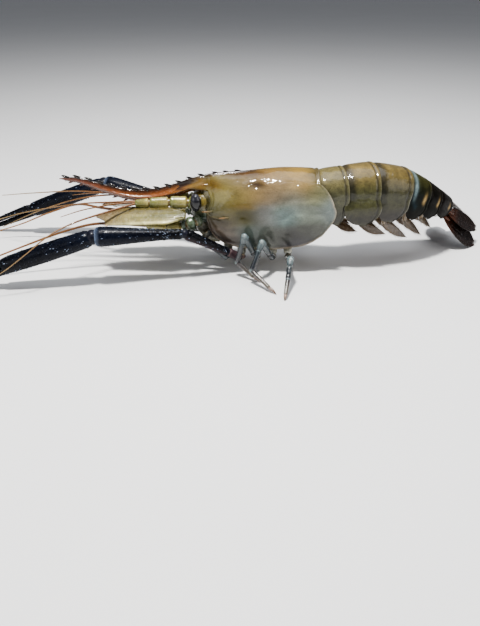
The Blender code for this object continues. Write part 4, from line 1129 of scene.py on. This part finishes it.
SCALE_LENGTH, SCALE_WIDTH, SCALE_TOOTH = 56.0, 14.5, 0.9
CREAM, SAGE, AMBER = "9c9158", "656a3c", "6b4218"
MEMBRANE = "a07a70"


def ringed(points, first, last, curve=0.7, steps=14, beads=0.10):
    """Path and radii of a feeler that thins to its tip, with its many short rings as fine beads."""
    path = curved(points, steps)
    count = len(path) - 1
    return path, [(first + (last - first) * (i / count) ** curve) * (1 + beads * (i % 2))
                  for i in range(count + 1)]


def build_antennule(label, side):
    joints = mirrored(ANTENNULE, side)
    form = Form("antennule_shape_" + label)
    for k, (ra, rb) in enumerate(((3.3, 3.7), (3.6, 3.3), (3.1, 2.8), (2.7, 2.0))):
        a, b = (joint - Vector((0, 0, 0.7)) for joint in joints[k:k + 2])
        paint = (CREAM if k else SAGE, SAGE, "8f7a4c", 0.06)
        limb(form, a, b, ra, rb, paint, 20, flat=1.12, swell=0.03, blunt=0.45)
        if k < 3:
            form.ball(b, rb * 0.72, "6f5f3a", 10, 14)
    form.build(PALE_WET, ["antennule_" + label], "pale_feeler_base")
    whips = Form("antennule_whips_" + label)
    for points in ANTENNULE_WHIPS[label]:
        path, radii = ringed(points, 0.75, 0.2)
        whips.tube(path, radii, lambda p: mix(AMBER, "85704c", step(20, 90, abs(p.x + 80))), 8)
    whips.build(FEELER, [], "pale_feeler_base")


def build_antenna(label, side):
    joints = mirrored(ANTENNA, side)
    form = Form("antenna_shape_" + label)
    for k, (ra, rb) in enumerate(((3.2, 4.2), (4.3, 4.4), (4.2, 3.0), (2.9, 2.6), (2.6, 1.9))):
        tone = HEAD_TEAL if k < 3 else CREAM
        limb(form, joints[k], joints[k + 1], ra, rb, (tone, mix(tone, SAGE, 0.35), "8d7f5c", 0.06), 20,
             swell=0, tips=(0.6 if k else 0, 0.6), blunt=0.4)
    form.build(PALE_WET, ["antenna_" + label], "pale_feeler_base")
    whip = Form("antenna_whip_" + label)
    path, radii = ringed(ANTENNA_WHIPS[label], 1.15, 0.22, 0.75, 26)
    whip.tube(path, radii, lambda p: mix("5f3a18", "8a5f32", step(-90, -190, p.x)), 10)
    whip.build(FEELER, ["antenna_flagellum_" + label], "amber_feeler")


def build_antenna_scale(label, side):
    """The leaf beside the antenna: its outer edge is nearly straight and ends in a tooth."""
    ahead = Vector((-1.0, side * -0.09, -0.045)).normalized()
    out = Vector((0.0, side * 0.86, -0.51)).normalized()
    root = Vector((-49.8, side * 14.6, 37.9))
    half_width, length = SCALE_WIDTH / 2, SCALE_LENGTH - 1.0
    widths = [half_width * w for w in (0.30, 0.68, 0.88, 0.97, 1.0, 1.0, 0.99, 0.93, 0.78, 0.5, 0.14)]
    grid = leaf(root, ahead, out, length, widths, crown=-0.9 * side, columns=21, rows=56,
                ridges=-0.16 * side)
    for i, row in enumerate(grid):
        share = i / (len(grid) - 1)
        if share < SCALE_TOOTH:
            reach = 0.97 * half_width * mix(0.45, 1.0, step(0.0, 0.25, share))
            edge = (row[-1] - root - ahead * (length * share)).dot(out)
            middle = len(row) // 2
            for j in range(middle + 1, len(row)):
                row[j] = row[j] + out * ((reach - edge) * (j - middle) / middle)

    def paint(p):
        share = (p - root).dot(ahead) / SCALE_LENGTH
        sway = (p - root).dot(out) / half_width
        tone = mix("5f5b29", "8d8456", step(0.05, 0.6, share))
        tone = mix(tone, "55562a", 0.7 * bell(sway, 0.05, 0.16) * step(1.0, 0.3, share))
        tone = mix(tone, "d6cf9a", 0.8 * bell(sway, 0.62, 0.14) * step(0.0, 0.2, share))
        tone = mix(tone, "463d20", 0.7 * step(0.0, -0.7, sway))
        tone = mix(tone, "3d3c1e", 0.7 * step(0.14, 0.0, share))
        return mix(tone, "6a5444", 0.65 * step(0.5, 0.95, share))

    form = Form("antenna_scale_blade_" + label)
    form.plate(grid, 0.7, paint)
    tooth = grid[int(SCALE_TOOTH * (len(grid) - 1))][-1]
    form.spine(tooth - ahead * 1.4 - out * 0.3, tooth + ahead * 1.6 + out * 0.05, 0.45, "c9a070", 8)
    form.build(PALE_WET, ["antenna_scale_" + label], "pale_feeler_base")
    hairs = Form("antenna_scale_fringe_" + label)
    fringe(hairs, grid, 1.5, "b9a27c", 0.38, 8, ("left", "end"), 0.8)
    hairs.build(HAIR, [], "pale_feeler_base")


def build_feelers():
    for label, side in SIDES.items():
        build_antennule(label, side)
        build_antenna(label, side)
        build_antenna_scale(label, side)


STEEL, STEEL_PALE, PLUM = "2b3337", "6b7779", "1d181e"


def build_mouthparts():
    path = ((-35.2, -6.0, 24.6), (-41.0, -8.0, 20.0), (-50.0, -7.4, 20.5), (-58.0, -5.8, 24.5),
            (-63.0, -4.4, 29.0))
    for label, side in SIDES.items():
        form, hairs = Form("maxilliped_shape_" + label), Form("maxilliped_bristles_" + label)
        joints = mirrored(path, side)
        for k, (ra, rb) in enumerate(((1.7, 1.9), (1.8, 1.7), (1.6, 1.5), (1.4, 0.5))):
            a, b = joints[k], joints[k + 1]
            limb(form, a, b, ra, rb, (STEEL, mix(STEEL, BELLY, 0.5), STEEL_PALE), 14)
            for _ in range(46):
                t = RNG.random()
                foot = a.lerp(b, t)
                out = Vector((-0.5, RNG.uniform(-0.5, 0.5), RNG.uniform(0.1, 1.0))).normalized()
                start = foot + out * mix(ra, rb, t) * 0.8
                hairs.spine(start, start + (out + (b - a).normalized() * 0.7) * 1.3, 0.07, "9a8668", 3)
        form.build(LEG_WET, ["maxilliped_" + label], "steel_grey_leg")
        hairs.build(HAIR, [], "steel_grey_leg")


LEG_PATHS = {  # knee, ankle and toe of each walking leg
    ("leg_3", "left"): ((-15.0, -22.0, 27.5), (-19.5, -19.5, 9.5), (-5.0, -29.0, 0.0)),
    ("leg_4", "left"): ((-4.5, -24.0, 24.5), (-10.5, -29.5, 8.5), (3.8, -44.0, 0.0)),
    ("leg_5", "left"): ((12.5, -30.5, 16.5), (10.5, -40.0, 8.0), (8.2, -51.5, 0.0)),
    ("leg_3", "right"): ((-13.0, 25.0, 27.0), (-19.0, 33.0, 11.0), (-23.0, 43.0, 0.0)),
    ("leg_4", "right"): ((3.0, 27.0, 26.0), (8.0, 37.0, 12.0), (12.0, 46.0, 0.0)),
    ("leg_5", "right"): ((21.0, 27.0, 24.0), (29.0, 38.0, 12.0), (37.0, 45.0, 0.0)),
}
KNEE_LENGTH = 5.0  # how far below the knee the leg's two pieces meet


def leg_root(leg, side):
    """The two ends of a leg's first short joint, beyond its hip."""
    a, b = hip_line(leg, side)
    out = (b - a).normalized()
    return b + out * 0.2, b + out * 2.8


def build_walking_legs():
    for (leg, label), points in LEG_PATHS.items():
        side = SIDES[label]
        knee, ankle, toe = (Vector(p) for p in points)
        first, second = leg_root(leg, side)
        form = Form(f"{leg}_{label}_thigh")
        limb(form, first, second, 2.2, 2.3, (BELLY, STEEL, STEEL_PALE), 16, tips=(0.6, 0))
        bend = second.lerp(knee, 0.34) + Vector((0, side * 0.7, -0.5))
        limb(form, second, bend, 2.1, 1.9, (STEEL, mix(STEEL, PLUM, 0.4), STEEL_PALE), 16)
        form.ball(bend, 1.5, PLUM, 8, 12)
        limb(form, bend, knee, 1.85, 2.0, (STEEL, mix(STEEL, STEEL_PALE, 0.35), STEEL_PALE, 0.12), 18,
             swell=0.16)
        shin = (ankle - knee).length
        parting = knee.lerp(ankle, KNEE_LENGTH / shin)
        out = Vector((0, side, 0.6)).normalized()
        form.ball(knee + out * 0.2, (2.05, 1.9, 2.05), "5f6c6e", 12, 18)
        form.ball(knee + out * 1.2 + (knee - bend).normalized() * 0.5, (1.15, 1.0, 1.15), "8f9b9a", 8, 12)
        limb(form, knee, parting, 1.9, 1.85, (STEEL_PALE, STEEL, STEEL_PALE), 16, swell=0.2)
        form.build(LEG_WET, [f"{leg}_{label}_upper"], "steel_grey_leg")
        form = Form(f"{leg}_{label}_shin")
        segment(form, parting - (ankle - knee).normalized() * 0.6, ankle, 1.6, 1.5,
                blend_paint(parting, ankle, STEEL, mix(STEEL, PLUM, 0.7), STEEL_PALE, 0.1), 16, swell=0.12)
        form.ball(ankle, 1.5, mix(STEEL_PALE, PLUM, 0.3), 10, 14)
        claw = ankle.lerp(toe, 0.74)
        limb(form, ankle, claw, 1.5, 1.05, (PLUM, mix(PLUM, BELLY, 0.35), "a89a94", 0.06), 14, swell=0.15)
        ahead = (claw - ankle).normalized()
        bow = ahead.cross(Vector((0, 0, 1))).cross(ahead) * 0.5
        path = [claw.lerp(toe, t) + bow * (4 * t * (1 - t)) for t in [k / 9 for k in range(10)]]
        path[-1].z = 0.12
        form.tube(path, [1.0 * (1 - (k / 9) ** 1.6) + 0.1 for k in range(10)],
                  lambda p: mix("8f7d72", "4a3428", on_line(p, claw, toe)), 12)
        for _ in range(60):
            t = RNG.uniform(0.15, 0.98)
            foot = ankle.lerp(claw, t)
            out = Vector((RNG.uniform(-1, 1), RNG.uniform(-1, 1), RNG.uniform(-1, 1))).normalized()
            out = (out - ahead * out.dot(ahead)).normalized()
            start = foot + out * mix(1.4, 1.0, t) * 0.85
            form.spine(start, start + (out * 0.45 + ahead) * 0.8, 0.1, "6a5a52", 3)
        form.stay_above(FLOOR_GAP)
        form.build(LEG_WET, [f"{leg}_{label}_lower"], "steel_grey_leg")


SMALL_CLAW = ((-36.5, -12.2, 18.2), (-50.0, -12.0, 23.3), (-56.5, -11.0, 24.6))


def build_small_claws():
    for label, side in SIDES.items():
        first, second = leg_root("small_claw", side)
        elbow, wrist, palm = mirrored(SMALL_CLAW, side)
        form, hairs = Form("small_claw_shape_" + label), Form("small_claw_bristles_" + label)
        limb(form, first, second, 2.0, 2.1, (BELLY, STEEL, STEEL_PALE), 14, tips=(0.6, 0))
        limb(form, second, elbow, 1.9, 1.8, (STEEL, STEEL, STEEL_PALE), 16, swell=0.15)
        form.ball(elbow, 1.6, STEEL_PALE, 10, 14)
        limb(form, elbow, wrist, 1.6, 1.5, (STEEL, mix(STEEL, PLUM, 0.4), STEEL_PALE), 16, swell=0.15)
        form.ball(wrist, 1.2, MEMBRANE, 8, 12)
        limb(form, wrist, palm, 1.4, 1.65, (STEEL, PLUM, STEEL_PALE), 16)
        for lift in (-0.75, 0.75):
            path = curved([palm + Vector((0.8, 0, lift * 0.4)), palm + Vector((-4.2, 0, lift * 1.4 + 0.6)),
                           palm + Vector((-8.4, side * -1.0, lift * 0.9 + 1.0))], 6)
            form.tube(path, [0.9 - 0.75 * (k / 12) ** 1.3 for k in range(13)], PLUM, 10)
            for spot in path[2:]:
                for _ in range(9):
                    out = Vector((RNG.uniform(-1, 0), RNG.uniform(-1, 1), RNG.uniform(-1, 1))).normalized()
                    hairs.spine(spot + out * 0.3, spot + out * 1.2, 0.06, "8a745a", 3)
        form.build(LEG_WET, ["small_claw_" + label], "steel_grey_leg")
        hairs.build(HAIR, [], "steel_grey_leg")


CLAW_JOINTS = {  # elbow, wrist and tip of each great claw
    "left": ((-50.0, -22.5, 29.5), (-103.0, -30.0, 30.7), (-199.0, -39.0, 1.2)),
    "right": ((-56.0, 29.5, 30.5), (-110.0, 44.0, 38.5), (-207.0, 54.0, 1.2)),
}
PALM_SHARE = 0.57  # of the hand's length, from the wrist to the fingers
CLAW_DARK, CLAW_BLUE, CLAW_ROSE = "07080d", "141c30", "3f3135"
CLAW_SKIN = "1a1b25"
# the pale grey-blue of some spines is a painted glint of light on the wet claw
SPINE_DARK, SPINE_PAINTED_GLINT = "111219", "737d8e"


def spiny(form, path_at, radius_at, count, long, span=(0.04, 0.97)):
    """Many small forward-leaning spines in loose rows round a limb, with a few stronger ones."""
    for n in range(count):
        t = span[0] + (span[1] - span[0]) * (n + RNG.random()) / count
        spot, ahead = path_at(t)
        side_way = ahead.orthogonal().normalized()
        other = ahead.cross(side_way)
        turn = 2 * pi * ((n * GOLDEN_SHARE) % 1.0)
        out = side_way * cos(turn) + other * sin(turn)
        strong = 1.7 if RNG.random() < 0.14 else 1.0
        size = long * RNG.uniform(0.65, 1.1) * strong
        foot = spot + out * (radius_at(t) * 0.93)
        # about a third of the spines are painted pale: painted glints
        paint = SPINE_PAINTED_GLINT if RNG.random() < 0.32 else SPINE_DARK
        form.spine(foot, foot + out * size * 0.62 + ahead * size * 0.8, 0.27 * strong, paint, 5)


def straight(a, b):
    """Gives the spot and the direction at a share of the way from a to b."""
    ahead = (b - a).normalized()
    return lambda t: (a.lerp(b, t), ahead)


MERUS_RADII = ((0, 2.5), (0.3, 2.6), (0.8, 3.1), (0.93, 3.4), (1, 3.0))
CARPUS_RADII = ((0, 2.5), (0.06, 2.8), (0.2, 3.1), (0.5, 4.2), (0.86, 5.7), (0.95, 5.6), (1, 4.7))
PALM_RADII = ((0, 4.0), (0.06, 4.9), (0.3, 5.4), (0.6, 5.5), (0.9, 5.1), (1, 4.5))


def build_finger(form, path, radii, along, inward, last_tooth, spines, bare):
    """A finger that thins from one radius to the other, with blunt teeth on its cutting edge, the largest
    near its root, and spines all round from a share of its length on."""
    steps = len(path) - 1
    root, tip = radii
    radii = [mix(root, tip, (k / steps) ** 1.5) for k in range(steps + 1)]
    form.tube(path, radii, CLAW_DARK, 16)
    for k in range(3, last_tooth):
        size = 0.75 if k in (5, 8) else 0.4
        spot = path[k] + inward * (radii[k] * 0.92)
        form.ball(spot, (size, size * 0.7, size), "5d4a44", 8, 10)
    spiny(form, lambda t: (path[min(steps - 1, int(t * steps))], along), lambda t: mix(root, tip, t**1.5),
          spines, 0.6, (bare, 0.93))


def build_great_claws():
    for label, side in SIDES.items():
        elbow, wrist, tip = (Vector(p) for p in CLAW_JOINTS[label])
        first, second = leg_root("cheliped", side)

        form = Form(f"great_claw_{label}_arm")
        limb(form, first, second, 2.4, 2.6, (BELLY, CLAW_ROSE, "8d756e"), 16, tips=(0.6, 0))
        bend = second.lerp(elbow, 0.26)
        limb(form, second, bend, 2.5, 2.7, (CLAW_ROSE, CLAW_ROSE, "8d756e", 0.1), 18)
        form.ball(bend, 2.2, CLAW_SKIN, 10, 14)

        def arm_paint(p):
            share = on_line(p, bend, elbow)
            upper = step(-1.6, 0.4, p.z - bend.lerp(elbow, share).z)
            return mix(mix(CLAW_ROSE, CLAW_DARK, 0.2 + 0.3 * share), CLAW_DARK, upper)

        segment(form, bend, elbow, 2.6, 3.4, arm_paint, 22, swell=0, blunt=0.4, table=MERUS_RADII)
        spiny(form, straight(bend, elbow), lambda t: along_table(MERUS_RADII, t)[0], 420, 0.6, (0.04, 0.93))
        form.ball(elbow + (wrist - elbow).normalized() * 0.5, 2.8, CLAW_SKIN, 12, 18)
        form.build(CLAW_WET, [f"cheliped_{label}_merus"], "blue_black_claw")

        along = (wrist - elbow).normalized()
        form = Form(f"great_claw_{label}_wrist")
        start = elbow + along * 0.9
        # the pale blue rims at both ends of the wrist piece are painted highlight
        paint = (CLAW_DARK, mix(CLAW_DARK, CLAW_BLUE, 0.4), "7d8ba4", 0.05)
        limb(form, start, wrist, 2.9, 5.6, paint, 26, swell=0, rings=26, blunt=0.32, table=CARPUS_RADII)
        spiny(form, straight(start, wrist), lambda t: along_table(CARPUS_RADII, t)[0] + 0.1, 820, 0.85,
              (0.02, 0.93))
        form.ball(wrist + (tip - wrist).normalized() * 0.6, 4.5, CLAW_SKIN, 14, 20)
        form.build(CLAW_WET, [f"cheliped_{label}_carpus"], "blue_black_claw")

        hand = tip - wrist
        along = hand.normalized()
        above = Vector((0, -side * 0.45, 1.0))
        above = (above - along * above.dot(along)).normalized()
        start, parting = wrist + along * 0.9, wrist + hand * PALM_SHARE
        form = Form(f"great_claw_{label}_palm")
        paint = (mix(CLAW_DARK, CLAW_BLUE, 0.35), CLAW_DARK, "2b2c38", 0.03)
        limb(form, start, parting, 5.1, 5.1, paint, 26, swell=0, rings=26, blunt=0.35, table=PALM_RADII)
        spiny(form, straight(start, parting), lambda t: along_table(PALM_RADII, t)[0] + 0.05, 980, 0.9,
              (0.04, 0.95))
        fixed = curved([parting - along * 6 - above * 1.6, parting - above * 2.4,
                        wrist + hand * 0.77 - above * 2.5, wrist + hand * 0.93 - above * 1.6, tip], 8)
        build_finger(form, fixed, (2.9, 0.25), along, above, 22, 300, 0.2)
        form.stay_above(FLOOR_GAP)
        form.build(CLAW_WET, [f"cheliped_{label}_palm"], "blue_black_claw")

        form = Form(f"great_claw_{label}_finger")
        root = parting + along * 1.0 + above * 2.5
        free = curved([root, wrist + hand * 0.66 + above * 2.7, wrist + hand * 0.82 + above * 2.2,
                       wrist + hand * 0.94 + above * 1.5, tip + above * 2.4 - along * 1.0], 8)
        form.ball(root - along * 0.4, 2.3, CLAW_SKIN, 10, 16)
        build_finger(form, free, (2.45, 0.2), along, -above, 20, 280, 0.03)
        form.build(CLAW_WET, [f"cheliped_{label}_finger"], "blue_black_claw")


build_floor()
build_studio()
build_camera()
build_carapace()
build_rostrum_root()
build_rostrum()
build_head()
build_eyes()
build_feelers()
build_mouthparts()
build_walking_legs()
build_small_claws()
build_great_claws()
build_abdomen()
build_swimmers()
build_tail_fan()
